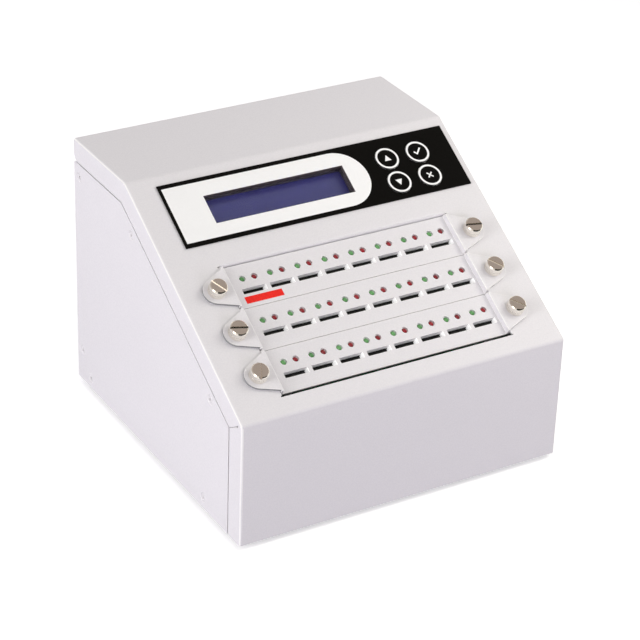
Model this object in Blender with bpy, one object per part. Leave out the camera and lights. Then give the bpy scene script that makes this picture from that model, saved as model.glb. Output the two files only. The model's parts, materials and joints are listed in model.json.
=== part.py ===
"""Memory card duplicator in a sheet metal desk case.

The case is a bent front cover, a base with a rear wall, and two screwed side
panels. Three lift-out card modules lie in the sloped face, each held by two
captive thumbscrews, below a display and four keys.

Sizes are in metres. X runs across the case, Y from front to back, Z up. The
sloped face has a frame of its own: x across, y up the slope and z out of it,
with its origin on the front upper edge.
"""

import math

import bmesh
import bpy
from mathutils import Matrix, Vector

# Sheet metal, fits and cuts
SHEET = 0.0012
FIT = 0.0003
SEAM = 0.0006
BITE = 0.0003
OVERRUN = 0.001
BEND_SIZE = 0.0014
BEND_STEPS = 3

# Case
CASE_WIDTH = 0.197
CASE_DEPTH = 0.195
CASE_HEIGHT = 0.1496
FRONT_HEIGHT = 0.0722
SLOPE_DEPTH = 0.1325
FLANGE_DEPTH = 0.0124
JOGGLE_DEPTH = 0.002
TAB_DEPTH = 0.013
LIP_DEPTH = 0.014
FLANGE_CORNER = 0.0035
PANEL_CORNER = 0.0016
RELIEF_RADIUS = 0.0007
RELIEF_SETBACK = 0.0042
RELIEF_DROP = 0.002
SLIT_WIDTH = 0.0003

# Feet
FOOT_HEIGHT = 0.003
FOOT_RADIUS = 0.006
FOOT_CROWN_RADIUS = 0.0052
FOOT_STEM_RADIUS = 0.0015
FOOT_STEM_REACH = 0.0012
FOOT_INSET = 0.02

# Countersunk side screws
SIDE_SCREW_RADIUS = 0.0013
SIDE_SCREW_CLEARANCE = 0.0004
SIDE_SCREW_LENGTH = 0.006
SIDE_SCREW_INSET = 0.0067
SLOPE_SCREW_DEPTH = 0.0189
REAR_SCREW_HEIGHT_SHARES = (0.861, 0.134)
BASE_SCREW_DEPTH_SHARES = (0.087, 0.793)
SLOPE_SCREW_LENGTH_SHARES = (0.864, 0.183)

# Card modules in the slope
MODULE_COUNT = 3
MODULE_BORDER = 0.0287
MODULE_TO_OVERLAY = 0.01455
MODULE_RECESS = 0.0021
MODULE_TRAVEL = 0.04
OPENING_BORDER = 0.0103
OPENING_LOW_GAP = 0.0023
OPENING_HIGH_GAP = 0.0003
OPENING_SIDE_GAP = 0.0004
OPENING_NOTCH = 0.0008
OPENING_LIP_DEPTH = 0.0045
EAR_GAP = 0.0006
EAR_ROOT_DROP = 0.0012
EAR_ROOT_RISE = 0.0003
EAR_NOSE_RADIUS = 0.0074
EAR_NOSE_STEPS = 8
NOTCH_DEPTH = 0.001

# Thumbscrews
THUMBSCREW_REACH = 0.0086
THUMBSCREW_DROP_SHARE = 0.553
KNOB_RADIUS = 0.00495
KNOB_HEIGHT = 0.0032
KNOB_CHAMFER = 0.0005
KNOB_SLOT_WIDTH = 0.0012
KNOB_SLOT_DEPTH = 0.0011
COLLAR_RADIUS = 0.0051
COLLAR_HEIGHT = 0.0019
SHANK_RADIUS = 0.0015
SHANK_CLEARANCE = 0.0004
BUSH_RADIUS = 0.003
BUSH_LENGTH = 0.004
LEFT_SLOT_DEGREES = (-38, 12, 68)
RIGHT_SLOT_DEGREES = (8, -32, -30)

# Card slots and lamps
SLOT_COUNT = 8
SLOT_ROW_LEFT_INSET = 0.0059
SLOT_ROW_RIGHT_INSET = 0.0016
SLOT_WALL = 0.0023
SLOT_HEIGHT = 0.00325
SLOT_DROP_SHARE = 0.622
LAMP_DROP_SHARE = 0.328
LAMP_INSET = 0.00315
LAMP_HOLE_RADIUS = 0.00185
LAMP_RADIUS = 0.0015
LAMP_SINK = 0.0003
LAMP_SHOULDER = 0.0011
LAMP_CROWN_RADIUS_SHARE = 0.72
LAMP_CROWN_DROP_SHARE = 0.32
LAMP_LENGTH = 0.0058
LAMP_BAR_WIDTH = 0.004
GUIDE_THICKNESS = 0.0024
GUIDE_WIDTH = 0.0056
GUIDE_SIDE_WALL = 0.0022
SOCKET_OVERLAP = 0.0002
SOCKET_WIDTH = 0.0044
SOCKET_HEIGHT = 0.0077
CARD_SIDE_WALL = 0.0014
CARD_THICKNESS = 0.0014
CARD_DEPTH = 0.006
BOARD_THICKNESS = 0.0016
BOARD_EDGE = 0.0014
STUD_RADIUS = 0.0015
STUD_INSET = 0.0083
STUD_EDGE = 0.0029
PLUG_LENGTH = 0.04
PLUG_WIDTH = 0.006
PLUG_REACH = 0.0084
PLUG_DROP_SHARE = 0.496
HEADER_WALL = 0.0018
HEADER_OVERLAP = 0.005

# Main board behind the modules
MAIN_BOARD_DEPTH = 0.034
MAIN_BOARD_SIDE_GAP = 0.0085
MAIN_BOARD_MARGIN = 0.005
PILLAR_RADIUS = 0.0025
PILLAR_INSET_X = 0.004
PILLAR_INSET_Y = 0.008
SINK_SIZE = 0.03
SINK_HEIGHT = 0.007
SINK_BASE = 0.002
SINK_FIN_COUNT = 6
SINK_FIN_THICKNESS = 0.0014

# Front overlay and display
OVERLAY_THICKNESS = 0.0006
OVERLAY_LEFT_BORDER = 0.01575
OVERLAY_RIGHT_BORDER = 0.0044
OVERLAY_TOP_BORDER = 0.0069
OVERLAY_HEIGHT = 0.04065
WINDOW_LEFT_MARGIN = 0.02255
WINDOW_RIGHT_MARGIN = 0.0692
WINDOW_LOW_MARGIN = 0.01085
WINDOW_HEIGHT = 0.018
LENS_THICKNESS = 0.001
LENS_MARGIN = 0.0025
BEZEL_MARGIN_X = 0.0065
BEZEL_MARGIN_Y = 0.0033
BEZEL_HEIGHT = 0.0062
DISPLAY_BOARD_MARGIN_X = 0.0155
DISPLAY_BOARD_MARGIN_Y = 0.0095
DISPLAY_STUD_EDGE = 0.004

# Keys
KEY_RIGHT_MARGIN = 0.0316
KEY_LOW_MARGIN = 0.01865
KEY_PITCH_X = 0.0197
KEY_PITCH_Y = 0.0161
KEY_RADIUS = 0.007
KEY_THICKNESS = 0.0006
KEY_TRAVEL = 0.0005
KEY_STEM_RADIUS = 0.0027
KEY_FOOT_RADIUS = 0.004
KEY_FOOT_THICKNESS = 0.0012
SWITCH_SIZE = 0.006
SWITCH_HEIGHT = 0.0028
PLUNGER_RADIUS = 0.0016
PLUNGER_GAP = 0.0001
KEY_BOARD_GAP = 0.0053
KEY_BOARD_MARGIN = 0.0105

# Power supply, inlet and rocker switch
SUPPLY_WIDTH = 0.098
SUPPLY_DEPTH = 0.093
SUPPLY_HEIGHT = 0.036
SUPPLY_LEG_HEIGHT = 0.004
SUPPLY_LEG_RADIUS = 0.003
SUPPLY_LEG_INSET = 0.008
SUPPLY_SIDE_GAP = 0.009
SUPPLY_REAR_GAP = 0.035
INLET_SIDE_GAP = 0.0485
INLET_Z = 0.04
INLET_FLANGE_WIDTH = 0.031
INLET_FLANGE_HEIGHT = 0.054
INLET_FLANGE_THICKNESS = 0.0025
INLET_RIM = 0.002
INLET_BODY_DEPTH = 0.022
SOCKET_MOUTH_WIDTH = 0.0245
SOCKET_MOUTH_HEIGHT = 0.0165
SOCKET_MOUTH_CORNER = 0.0045
SOCKET_MOUTH_DEPTH = 0.0155
SOCKET_MOUTH_DROP = 0.012
PIN_WIDTH = 0.002
PIN_HEIGHT = 0.004
PIN_SINK = 0.0015
PIN_SPREAD = 0.007
PIN_RISE = 0.002
ROCKER_WIDTH = 0.0132
ROCKER_HEIGHT = 0.0192
ROCKER_RISE = 0.0125
ROCKER_WELL_DEPTH = 0.009
ROCKER_PIVOT_DEPTH = 0.004
ROCKER_PIVOT_RADIUS = 0.0011
ROCKER_PIVOT_STUB = 0.001
ROCKER_SWING_DEGREES = 20
ROCKER_STAND = 0.0015
ROCKER_THICKNESS = 0.003
ROCKER_END_GAP = 0.0006
ROCKER_BACK_WALL = 0.0012
ROCKER_SPINE_SHARE = 0.35

# Fan
FAN_SIDE_GAP = 0.0525
FAN_Z = 0.092
FAN_SIZE = 0.04
FAN_DEPTH = 0.0105
FAN_BORE_RADIUS = 0.0187
FAN_HUB_RADIUS = 0.0098
FAN_BLADE_COUNT = 7
FAN_BLADE_THICKNESS = 0.0009
FAN_BLADE_CHORD = 0.0078
FAN_BLADE_DEGREES = 38
FAN_BLADE_ROOT_SHARE = 0.94
FAN_TIP_GAP = 0.0009
FAN_FACE_GAP = 0.0008
FAN_WEB_THICKNESS = 0.0016
FAN_STRUT_WIDTH = 0.0024
FAN_SHAFT_RADIUS = 0.001
FAN_SHAFT_LENGTH = 0.005
FAN_RIVET_INSET = 0.004
FAN_RIVET_RADIUS = 0.0015
FAN_RIVET_HEAD_RADIUS = 0.0028
FAN_RIVET_HEAD = 0.001
GRILLE_SLOT_COUNT = 7
GRILLE_SLOT_HEIGHT = 0.0032
GRILLE_SLOT_PITCH = 0.0052

# Vents in the rear wall and the base
VENT_COUNT = 8
VENT_WIDTH = 0.0026
VENT_LENGTH = 0.03
VENT_PITCH = 0.0056
REAR_VENT_Z = 0.105
BASE_VENT_SIDE_GAP = 0.0485
BASE_VENT_FRONT_GAP = 0.055

# Turned pieces
ROUND_STEPS = 16
HOLE_STEPS = 12
SMALL_STEPS = 8
FAN_STEPS = 24
CORNER_STEPS = 3
RELIEF_STEPS = 6
SMOOTH_DEGREES = 40

# Places that follow from the sizes above
HALF_WIDTH = CASE_WIDTH / 2
REAR_REACH = FIT + INLET_FLANGE_THICKNESS + ROCKER_STAND
FRONT = -(CASE_DEPTH + REAR_REACH) / 2
BACK = FRONT + CASE_DEPTH
BOTTOM = FOOT_HEIGHT
TOP = BOTTOM + CASE_HEIGHT
SLOPE_RISE = CASE_HEIGHT - FRONT_HEIGHT
SLOPE_LENGTH = math.hypot(SLOPE_DEPTH, SLOPE_RISE)
SLOPE_ANGLE = math.atan2(SLOPE_RISE, SLOPE_DEPTH)
TAB_OUTER_X = HALF_WIDTH - SHEET - FIT
TAB_INNER_X = TAB_OUTER_X - SHEET
TAB_END = FLANGE_DEPTH + TAB_DEPTH
INSIDE_BACK = BACK - SHEET
INSIDE_BOTTOM = BOTTOM + SHEET

OVERLAY_LEFT = OVERLAY_LEFT_BORDER - HALF_WIDTH
OVERLAY_RIGHT = HALF_WIDTH - OVERLAY_RIGHT_BORDER
OVERLAY_HIGH = SLOPE_LENGTH - OVERLAY_TOP_BORDER
OVERLAY_LOW = OVERLAY_HIGH - OVERLAY_HEIGHT
WINDOW_LEFT = OVERLAY_LEFT + WINDOW_LEFT_MARGIN
WINDOW_RIGHT = OVERLAY_RIGHT - WINDOW_RIGHT_MARGIN
WINDOW_LOW = OVERLAY_LOW + WINDOW_LOW_MARGIN
WINDOW_HIGH = WINDOW_LOW + WINDOW_HEIGHT
KEY_MIDDLE_X = OVERLAY_RIGHT - KEY_RIGHT_MARGIN
KEY_MIDDLE_Y = OVERLAY_LOW + KEY_LOW_MARGIN

MODULE_HALF_WIDTH = HALF_WIDTH - MODULE_BORDER
MODULE_TOP = OVERLAY_LOW - MODULE_TO_OVERLAY
MODULE_PITCH = (MODULE_TOP - OPENING_BORDER - OPENING_LOW_GAP) / MODULE_COUNT
THUMBSCREW_X = MODULE_HALF_WIDTH + THUMBSCREW_REACH
THUMBSCREW_DROP = MODULE_PITCH * THUMBSCREW_DROP_SHARE
EAR_LOW = EAR_GAP
EAR_TOP = EAR_GAP + SHEET
FLOOR_TOP = -MODULE_RECESS
FLOOR_LOW = FLOOR_TOP - SHEET
WALL_INNER_X = MODULE_HALF_WIDTH - SHEET
GUIDE_TOP = FLOOR_LOW - FIT
GUIDE_LOW = GUIDE_TOP - GUIDE_THICKNESS
SOCKET_TOP = GUIDE_LOW - FIT
MODULE_BOARD_TOP = SOCKET_TOP - SOCKET_HEIGHT
MODULE_BOARD_LOW = MODULE_BOARD_TOP - BOARD_THICKNESS
PLUG_LOW = MODULE_BOARD_LOW - PLUG_REACH
PLUG_DROP = MODULE_PITCH * PLUG_DROP_SHARE
SLOT_DROP = MODULE_PITCH * SLOT_DROP_SHARE
SLOT_START_X = SLOT_ROW_LEFT_INSET - WALL_INNER_X
SLOT_END_X = WALL_INNER_X - SLOT_ROW_RIGHT_INSET
SLOT_PITCH = (SLOT_END_X - SLOT_START_X + SLOT_WALL) / SLOT_COUNT
SLOT_LENGTH = SLOT_PITCH - SLOT_WALL
SOCKET_LENGTH = SLOT_LENGTH + 2 * SOCKET_OVERLAP
CARD_WIDTH = SLOT_LENGTH - 2 * CARD_SIDE_WALL
LAMP_DROP = MODULE_PITCH * LAMP_DROP_SHARE
LAMP_SPACING = SLOT_LENGTH / 2
STUD_X = MODULE_HALF_WIDTH - STUD_INSET
MODULE_BOARD_LEFT = SLOT_START_X - GUIDE_SIDE_WALL
MODULE_BOARD_RIGHT = SLOT_END_X + GUIDE_SIDE_WALL / 2
OPENING_HIGH = MODULE_TOP + OPENING_HIGH_GAP
OPENING_HALF_WIDTH = MODULE_HALF_WIDTH + OPENING_SIDE_GAP
OPENING_LIP_HALF_WIDTH = MODULE_HALF_WIDTH

COLLAR_LOW = EAR_TOP + FIT
COLLAR_TOP = COLLAR_LOW + COLLAR_HEIGHT
KNOB_LOW = COLLAR_TOP + FIT
KNOB_TOP = KNOB_LOW + KNOB_HEIGHT
BUSH_LOW = -SHEET - BUSH_LENGTH
SHANK_HOLE_RADIUS = SHANK_RADIUS + SHANK_CLEARANCE

HEADER_TOP = PLUG_LOW + HEADER_OVERLAP
MAIN_BOARD_TOP = -MAIN_BOARD_DEPTH
MAIN_BOARD_LOW = MAIN_BOARD_TOP - BOARD_THICKNESS
MAIN_BOARD_HALF_WIDTH = HALF_WIDTH - MAIN_BOARD_SIDE_GAP
MAIN_BOARD_START = OPENING_BORDER - MAIN_BOARD_MARGIN
MAIN_BOARD_END = OPENING_HIGH + MAIN_BOARD_MARGIN

OVERLAY_TOP = FIT + OVERLAY_THICKNESS
LENS_TOP = -SHEET - FIT
LENS_LOW = LENS_TOP - LENS_THICKNESS
BEZEL_TOP = LENS_LOW - FIT
DISPLAY_BOARD_TOP = BEZEL_TOP - BEZEL_HEIGHT
KEY_TOP = OVERLAY_TOP + KEY_THICKNESS
KEY_HOLE_RADIUS = KEY_RADIUS + FIT
KEY_STEM_HOLE_RADIUS = KEY_STEM_RADIUS + SHANK_CLEARANCE
KEY_FOOT_TOP = -SHEET - FIT
KEY_FOOT_LOW = KEY_FOOT_TOP - KEY_FOOT_THICKNESS
PLUNGER_TOP = KEY_FOOT_LOW - KEY_TRAVEL - PLUNGER_GAP
KEY_BOARD_TOP = -SHEET - KEY_BOARD_GAP
SIDE_SCREW_HOLE_RADIUS = SIDE_SCREW_RADIUS + SIDE_SCREW_CLEARANCE
INLET_X = INLET_SIDE_GAP - HALF_WIDTH
FAN_X = HALF_WIDTH - FAN_SIDE_GAP
BASE_VENT_X = HALF_WIDTH - BASE_VENT_SIDE_GAP


def clear_scene():
    for item in list(bpy.data.objects):
        bpy.data.objects.remove(item, do_unlink=True)


def finish(name, colour, roughness, metallic=0.0):
    made = bpy.data.materials.new(name)
    made.use_nodes = True
    shader = made.node_tree.nodes["Principled BSDF"]
    shader.inputs["Base Color"].default_value = (*colour, 1.0)
    shader.inputs["Roughness"].default_value = roughness
    shader.inputs["Metallic"].default_value = metallic
    made.diffuse_color = (*colour, 1.0)
    return made


def painted_steel(name):
    return finish(name, (0.72, 0.7, 0.76), 0.5)


def plated_steel(name):
    return finish(name, (0.66, 0.63, 0.58), 0.28, 1.0)


def black_plastic(name):
    return finish(name, (0.02, 0.02, 0.02), 0.45)


def pale_plastic(name):
    return finish(name, (0.55, 0.56, 0.58), 0.5)


def circuit_board(name):
    return finish(name, (0.02, 0.16, 0.07), 0.45)


def rubber(name):
    return finish(name, (0.03, 0.03, 0.03), 0.85)


def clear_lens(name):
    return finish(name, (0.6, 0.65, 0.75), 0.05)


def display_blue(name):
    return finish(name, (0.04, 0.04, 0.14), 0.2)


def lamp_plastic(name):
    return finish(name, (0.5, 0.32, 0.28), 0.25)


def bare_aluminium(name):
    return finish(name, (0.7, 0.7, 0.72), 0.35, 1.0)


def point_on(axis, first, second, along):
    if axis == "X":
        return Vector((along, first, second))
    if axis == "Y":
        return Vector((first, along, second))
    return Vector((first, second, along))


def add_prism(shape, outline, axis, start, end):
    """Closed prism: outline holds the two coordinates across the axis."""
    near = [shape.verts.new(point_on(axis, a, b, start)) for a, b in outline]
    far = [shape.verts.new(point_on(axis, a, b, end)) for a, b in outline]
    shape.faces.new(near)
    shape.faces.new(list(reversed(far)))
    for i in range(len(outline)):
        j = (i + 1) % len(outline)
        shape.faces.new((near[i], far[i], far[j], near[j]))


def rectangle(low_a, high_a, low_b, high_b):
    return [(low_a, low_b), (high_a, low_b), (high_a, high_b), (low_a, high_b)]


def add_block(shape, low, high):
    add_prism(shape, rectangle(low[0], high[0], low[1], high[1]), "Z", low[2], high[2])


def notched_rectangle(low_a, high_a, low_b, high_b, notch):
    """A rectangle whose four corners are eased by square notches."""
    return [
        (low_a - notch, low_b), (high_a + notch, low_b), (high_a + notch, low_b + notch),
        (high_a, low_b + notch), (high_a, high_b - notch), (high_a + notch, high_b - notch),
        (high_a + notch, high_b),
        (low_a - notch, high_b), (low_a - notch, high_b - notch), (low_a, high_b - notch),
        (low_a, low_b + notch), (low_a - notch, low_b + notch),
    ]


def arc(centre, radius, start, end, steps):
    """Points on a circle from one angle to another."""
    points = []
    for i in range(steps + 1):
        angle = start + (end - start) * i / steps
        points.append((centre[0] + radius * math.cos(angle), centre[1] + radius * math.sin(angle)))
    return points


def circle(centre, radius, steps):
    half_step = math.pi / steps
    return arc(centre, radius, half_step, 2 * math.pi - half_step, steps - 1)


def add_rod(shape, axis, centre, radius, start, end, steps=HOLE_STEPS):
    add_prism(shape, circle(centre, radius, steps), axis, start, end)


def add_turned(shape, profile, steps):
    """Round body about Z from (radius, height) points.

    A profile that ends on its first point makes a ring.
    """
    turn = 2 * math.pi / steps
    rings = []
    for radius, height in profile:
        if rings and (radius, height) == profile[0]:
            rings.append(rings[0])
            continue
        if radius == 0:
            rings.append([shape.verts.new((0, 0, height))])
            continue
        ring = []
        for i in range(steps):
            angle = (i + 0.5) * turn
            ring.append(shape.verts.new((radius * math.cos(angle), radius * math.sin(angle), height)))
        rings.append(ring)
    for upper, lower in zip(rings, rings[1:]):
        for i in range(steps):
            j = (i + 1) % steps
            corners = [upper[i % len(upper)], lower[i % len(lower)]]
            for corner in (lower[j % len(lower)], upper[j % len(upper)]):
                if corner not in corners:
                    corners.append(corner)
            shape.faces.new(corners)


def to_mesh(name, shape):
    bmesh.ops.recalc_face_normals(shape, faces=shape.faces)
    mesh = bpy.data.meshes.new(name)
    shape.to_mesh(mesh)
    shape.free()
    return mesh


def smooth_round(mesh):
    mesh.shade_smooth()
    mesh.set_sharp_from_angle(angle=math.radians(SMOOTH_DEGREES))


def place(name, mesh, parent=None, location=(0, 0, 0), rotation=(0, 0, 0)):
    item = bpy.data.objects.new(name, mesh)
    bpy.context.scene.collection.objects.link(item)
    item.parent = parent
    item.location = location
    item.rotation_euler = rotation
    return item


def node(name, shape, surface, parent=None, location=(0, 0, 0), rotation=(0, 0, 0)):
    mesh = to_mesh(name, shape)
    mesh.materials.append(surface(name))
    return place(name, mesh, parent, location, rotation)


def turned_node(name, profile, steps, surface, parent=None, location=(0, 0, 0), rotation=(0, 0, 0)):
    shape = bmesh.new()
    add_turned(shape, profile, steps)
    item = node(name, shape, surface, parent, location, rotation)
    smooth_round(item.data)
    return item


def combine(item, shape, operation, label):
    """Joins a guide shape to a node, or cuts it out, by an exact Boolean."""
    mesh = to_mesh(item.name + label, shape)
    guide = place(item.name + label, mesh, item.parent, item.location, item.rotation_euler)
    guide.hide_render = True
    guide.display_type = "WIRE"
    step = item.modifiers.new(label.strip("_"), "BOOLEAN")
    step.operation = operation
    step.solver = "EXACT"
    step.object = guide


def join(item, shape, label="_added"):
    combine(item, shape, "UNION", label)


def cut(item, shape, label="_cut"):
    combine(item, shape, "DIFFERENCE", label)


def offset_path(path, depth):
    """The path moved inward by a depth, mitred at its corners."""
    normals = []
    for (y0, z0), (y1, z1) in zip(path, path[1:]):
        length = math.hypot(y1 - y0, z1 - z0)
        normals.append(((z1 - z0) / length, -(y1 - y0) / length))
    moved = []
    for i, (y, z) in enumerate(path):
        before = normals[max(i - 1, 0)]
        after = normals[min(i, len(normals) - 1)]
        spread = 1 + before[0] * after[0] + before[1] * after[1]
        moved.append((y + depth * (before[0] + after[0]) / spread, z + depth * (before[1] + after[1]) / spread))
    return moved


def mirrored_section(right_side):
    """A closed section from its right half, given as (x, depth) points."""
    return right_side + [(-x, depth) for x, depth in reversed(right_side)]


def swept_channel(path, section):
    """Bent sheet: the section carried along the path, with mitred corners."""
    shape = bmesh.new()
    stations = [offset_path(path, depth) for x, depth in section]
    grid = []
    for i in range(len(path)):
        ring = []
        for (x, depth), line in zip(section, stations):
            ring.append(shape.verts.new((x, line[i][0], line[i][1])))
        grid.append(ring)
    shape.faces.new(grid[0])
    shape.faces.new(list(reversed(grid[-1])))
    for near, far in zip(grid, grid[1:]):
        for i in range(len(section)):
            j = (i + 1) % len(section)
            shape.faces.new((near[i], near[j], far[j], far[i]))
    return shape, grid


def round_outer_bends(item_mesh_shape, grid, count):
    """Marks the outer bend edges, which the Bevel modifier then rounds."""
    weights = item_mesh_shape.edges.layers.float.new("bevel_weight_edge")
    right, left = 0, count - 1
    marked = []
    for near, far in zip(grid, grid[1:]):
        marked.append((near[right], far[right]))
        marked.append((near[left], far[left]))
    for ring in grid[1:-1]:
        marked.append((ring[right], ring[left]))
    for first, second in marked:
        edge = item_mesh_shape.edges.get((first, second))
        edge[weights] = 1.0


def bevel_bends(item):
    step = item.modifiers.new("bends", "BEVEL")
    step.limit_method = "WEIGHT"
    step.width = BEND_SIZE
    step.segments = BEND_STEPS


def cover_path():
    return [
        (FRONT, BOTTOM),
        (FRONT, BOTTOM + FRONT_HEIGHT),
        (FRONT + SLOPE_DEPTH, TOP),
        (BACK, TOP),
    ]


def module_tops():
    return [MODULE_TOP - i * MODULE_PITCH for i in range(MODULE_COUNT)]


def thumbscrew_places():
    return [(side * THUMBSCREW_X, top - THUMBSCREW_DROP) for side in (-1, 1) for top in module_tops()]


def side_screw_places():
    """The (y, z) places of the screws of one side panel."""
    places = [(BACK - SIDE_SCREW_INSET, BOTTOM + share * CASE_HEIGHT) for share in REAR_SCREW_HEIGHT_SHARES]
    places += [(BACK - share * CASE_DEPTH, BOTTOM + SIDE_SCREW_INSET) for share in BASE_SCREW_DEPTH_SHARES]
    for share in SLOPE_SCREW_LENGTH_SHARES:
        along = share * SLOPE_LENGTH
        y = FRONT + along * math.cos(SLOPE_ANGLE) + SLOPE_SCREW_DEPTH * math.sin(SLOPE_ANGLE)
        z = BOTTOM + FRONT_HEIGHT + along * math.sin(SLOPE_ANGLE) - SLOPE_SCREW_DEPTH * math.cos(SLOPE_ANGLE)
        places.append((y, z))
    return places


def key_places():
    return [
        (KEY_MIDDLE_X + a * KEY_PITCH_X / 2, KEY_MIDDLE_Y + b * KEY_PITCH_Y / 2)
        for b in (1, -1)
        for a in (-1, 1)
    ]


def pillar_places():
    """Pillars under the cover that carry the main board."""
    x = MAIN_BOARD_HALF_WIDTH - PILLAR_INSET_X
    low = MAIN_BOARD_START + PILLAR_INSET_Y
    high = MAIN_BOARD_END - PILLAR_INSET_Y
    return [(side * x, y) for side in (-1, 1) for y in (low, high)]


def display_stud_places():
    left = WINDOW_LEFT - DISPLAY_BOARD_MARGIN_X + DISPLAY_STUD_EDGE
    right = WINDOW_RIGHT + DISPLAY_BOARD_MARGIN_X - DISPLAY_STUD_EDGE
    low = WINDOW_LOW - DISPLAY_BOARD_MARGIN_Y + DISPLAY_STUD_EDGE
    high = WINDOW_HIGH + DISPLAY_BOARD_MARGIN_Y - DISPLAY_STUD_EDGE
    return [(x, y) for x in (left, right) for y in (low, high)]


def key_board_limits():
    reach_x = KEY_PITCH_X / 2 + KEY_BOARD_MARGIN
    reach_y = KEY_PITCH_Y / 2 + KEY_BOARD_MARGIN
    return rectangle(
        KEY_MIDDLE_X - reach_x, KEY_MIDDLE_X + reach_x,
        KEY_MIDDLE_Y - reach_y, KEY_MIDDLE_Y + reach_y,
    )


def key_board_stud_places():
    inset = STUD_RADIUS + OVERRUN
    places = []
    for x, y in key_board_limits():
        places.append((x - math.copysign(inset, x - KEY_MIDDLE_X), y - math.copysign(inset, y - KEY_MIDDLE_Y)))
    return places


def cover(slope):
    """Front, slope and top in one bent sheet, with joggled side flanges."""
    right_side = [
        (HALF_WIDTH, 0),
        (HALF_WIDTH, FLANGE_DEPTH),
        (TAB_OUTER_X, FLANGE_DEPTH),
        (TAB_OUTER_X, TAB_END),
        (TAB_INNER_X, TAB_END),
        (TAB_INNER_X, FLANGE_DEPTH - JOGGLE_DEPTH),
        (HALF_WIDTH - SHEET, FLANGE_DEPTH - JOGGLE_DEPTH),
        (HALF_WIDTH - SHEET, SHEET),
    ]
    section = mirrored_section(right_side)
    shape, grid = swept_channel(cover_path(), section)
    round_outer_bends(shape, grid, len(section))
    shape.transform(slope.matrix_world.inverted())
    item = node("cover", shape, painted_steel, slope)
    bevel_bends(item)
    join(item, cover_carriers())
    cut(item, cover_slope_cuts(), "_slope_cut")
    cut(item, opening_fold_cut(), "_fold_cut")
    for label, shape in (("_tab_cut", tab_end_cuts()), ("_flange_cut", flange_cuts())):
        shape.transform(slope.matrix_world.inverted())
        cut(item, shape, label)


def cover_carriers():
    """Threaded bushes, pillars, studs and the opening's upper lip, all under the slope."""
    shape = bmesh.new()
    under = -SHEET + BITE
    for place_on_slope in thumbscrew_places():
        add_rod(shape, "Z", place_on_slope, BUSH_RADIUS, BUSH_LOW, under)
    for place_on_slope in pillar_places():
        add_rod(shape, "Z", place_on_slope, PILLAR_RADIUS, MAIN_BOARD_TOP + FIT, under)
    for place_on_slope in display_stud_places():
        add_rod(shape, "Z", place_on_slope, STUD_RADIUS, DISPLAY_BOARD_TOP + FIT, under, SMALL_STEPS)
    for place_on_slope in key_board_stud_places():
        add_rod(shape, "Z", place_on_slope, STUD_RADIUS, KEY_BOARD_TOP + FIT, under, SMALL_STEPS)
    low = (-OPENING_LIP_HALF_WIDTH, OPENING_HIGH - OVERRUN, -OPENING_LIP_DEPTH)
    add_block(shape, low, (OPENING_LIP_HALF_WIDTH, OPENING_HIGH + SHEET, under))
    return shape


def cover_slope_cuts():
    shape = bmesh.new()
    under = -SHEET - OVERRUN
    over = OVERRUN
    reach = OPENING_HALF_WIDTH
    opening = notched_rectangle(-reach, reach, OPENING_BORDER, OPENING_HIGH, OPENING_NOTCH)
    add_prism(shape, opening, "Z", -OPENING_LIP_DEPTH - OVERRUN, over)
    window = rectangle(WINDOW_LEFT, WINDOW_RIGHT, WINDOW_LOW, WINDOW_HIGH)
    add_prism(shape, window, "Z", under, over)
    for place_on_slope in key_places():
        add_rod(shape, "Z", place_on_slope, KEY_STEM_HOLE_RADIUS, under, over)
    for place_on_slope in thumbscrew_places():
        add_rod(shape, "Z", place_on_slope, SHANK_HOLE_RADIUS, BUSH_LOW - OVERRUN, over)
    return shape


def opening_fold_cut():
    """Rounds the fold where the slope turns down into the opening's upper lip."""
    shape = bmesh.new()
    centre = (OPENING_HIGH + BEND_SIZE, -BEND_SIZE)
    outline = [(OPENING_HIGH - OVERRUN, OVERRUN), (centre[0], OVERRUN)]
    outline += arc(centre, BEND_SIZE, math.pi / 2, math.pi, BEND_STEPS)
    outline.append((OPENING_HIGH - OVERRUN, -BEND_SIZE))
    add_prism(shape, outline, "X", -OPENING_LIP_HALF_WIDTH, OPENING_LIP_HALF_WIDTH)
    return shape


def tab_end_cuts():
    """Shortens the joggled tabs where the base and the rear wall come in."""
    shape = bmesh.new()
    joggle = FLANGE_DEPTH - JOGGLE_DEPTH - OVERRUN
    lip_reach = LIP_DEPTH + FIT
    front_end = rectangle(FRONT + joggle, FRONT + TAB_END + OVERRUN, BOTTOM - OVERRUN, BOTTOM + lip_reach)
    rear_end = rectangle(BACK - lip_reach, BACK + OVERRUN, TOP - TAB_END - OVERRUN, TOP - joggle)
    for side in (-1, 1):
        inner = side * (TAB_INNER_X - OVERRUN)
        flange_inner = side * (HALF_WIDTH - SHEET)
        add_prism(shape, front_end, "X", inner, flange_inner)
        add_prism(shape, rear_end, "X", inner, flange_inner)
    return shape


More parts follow.
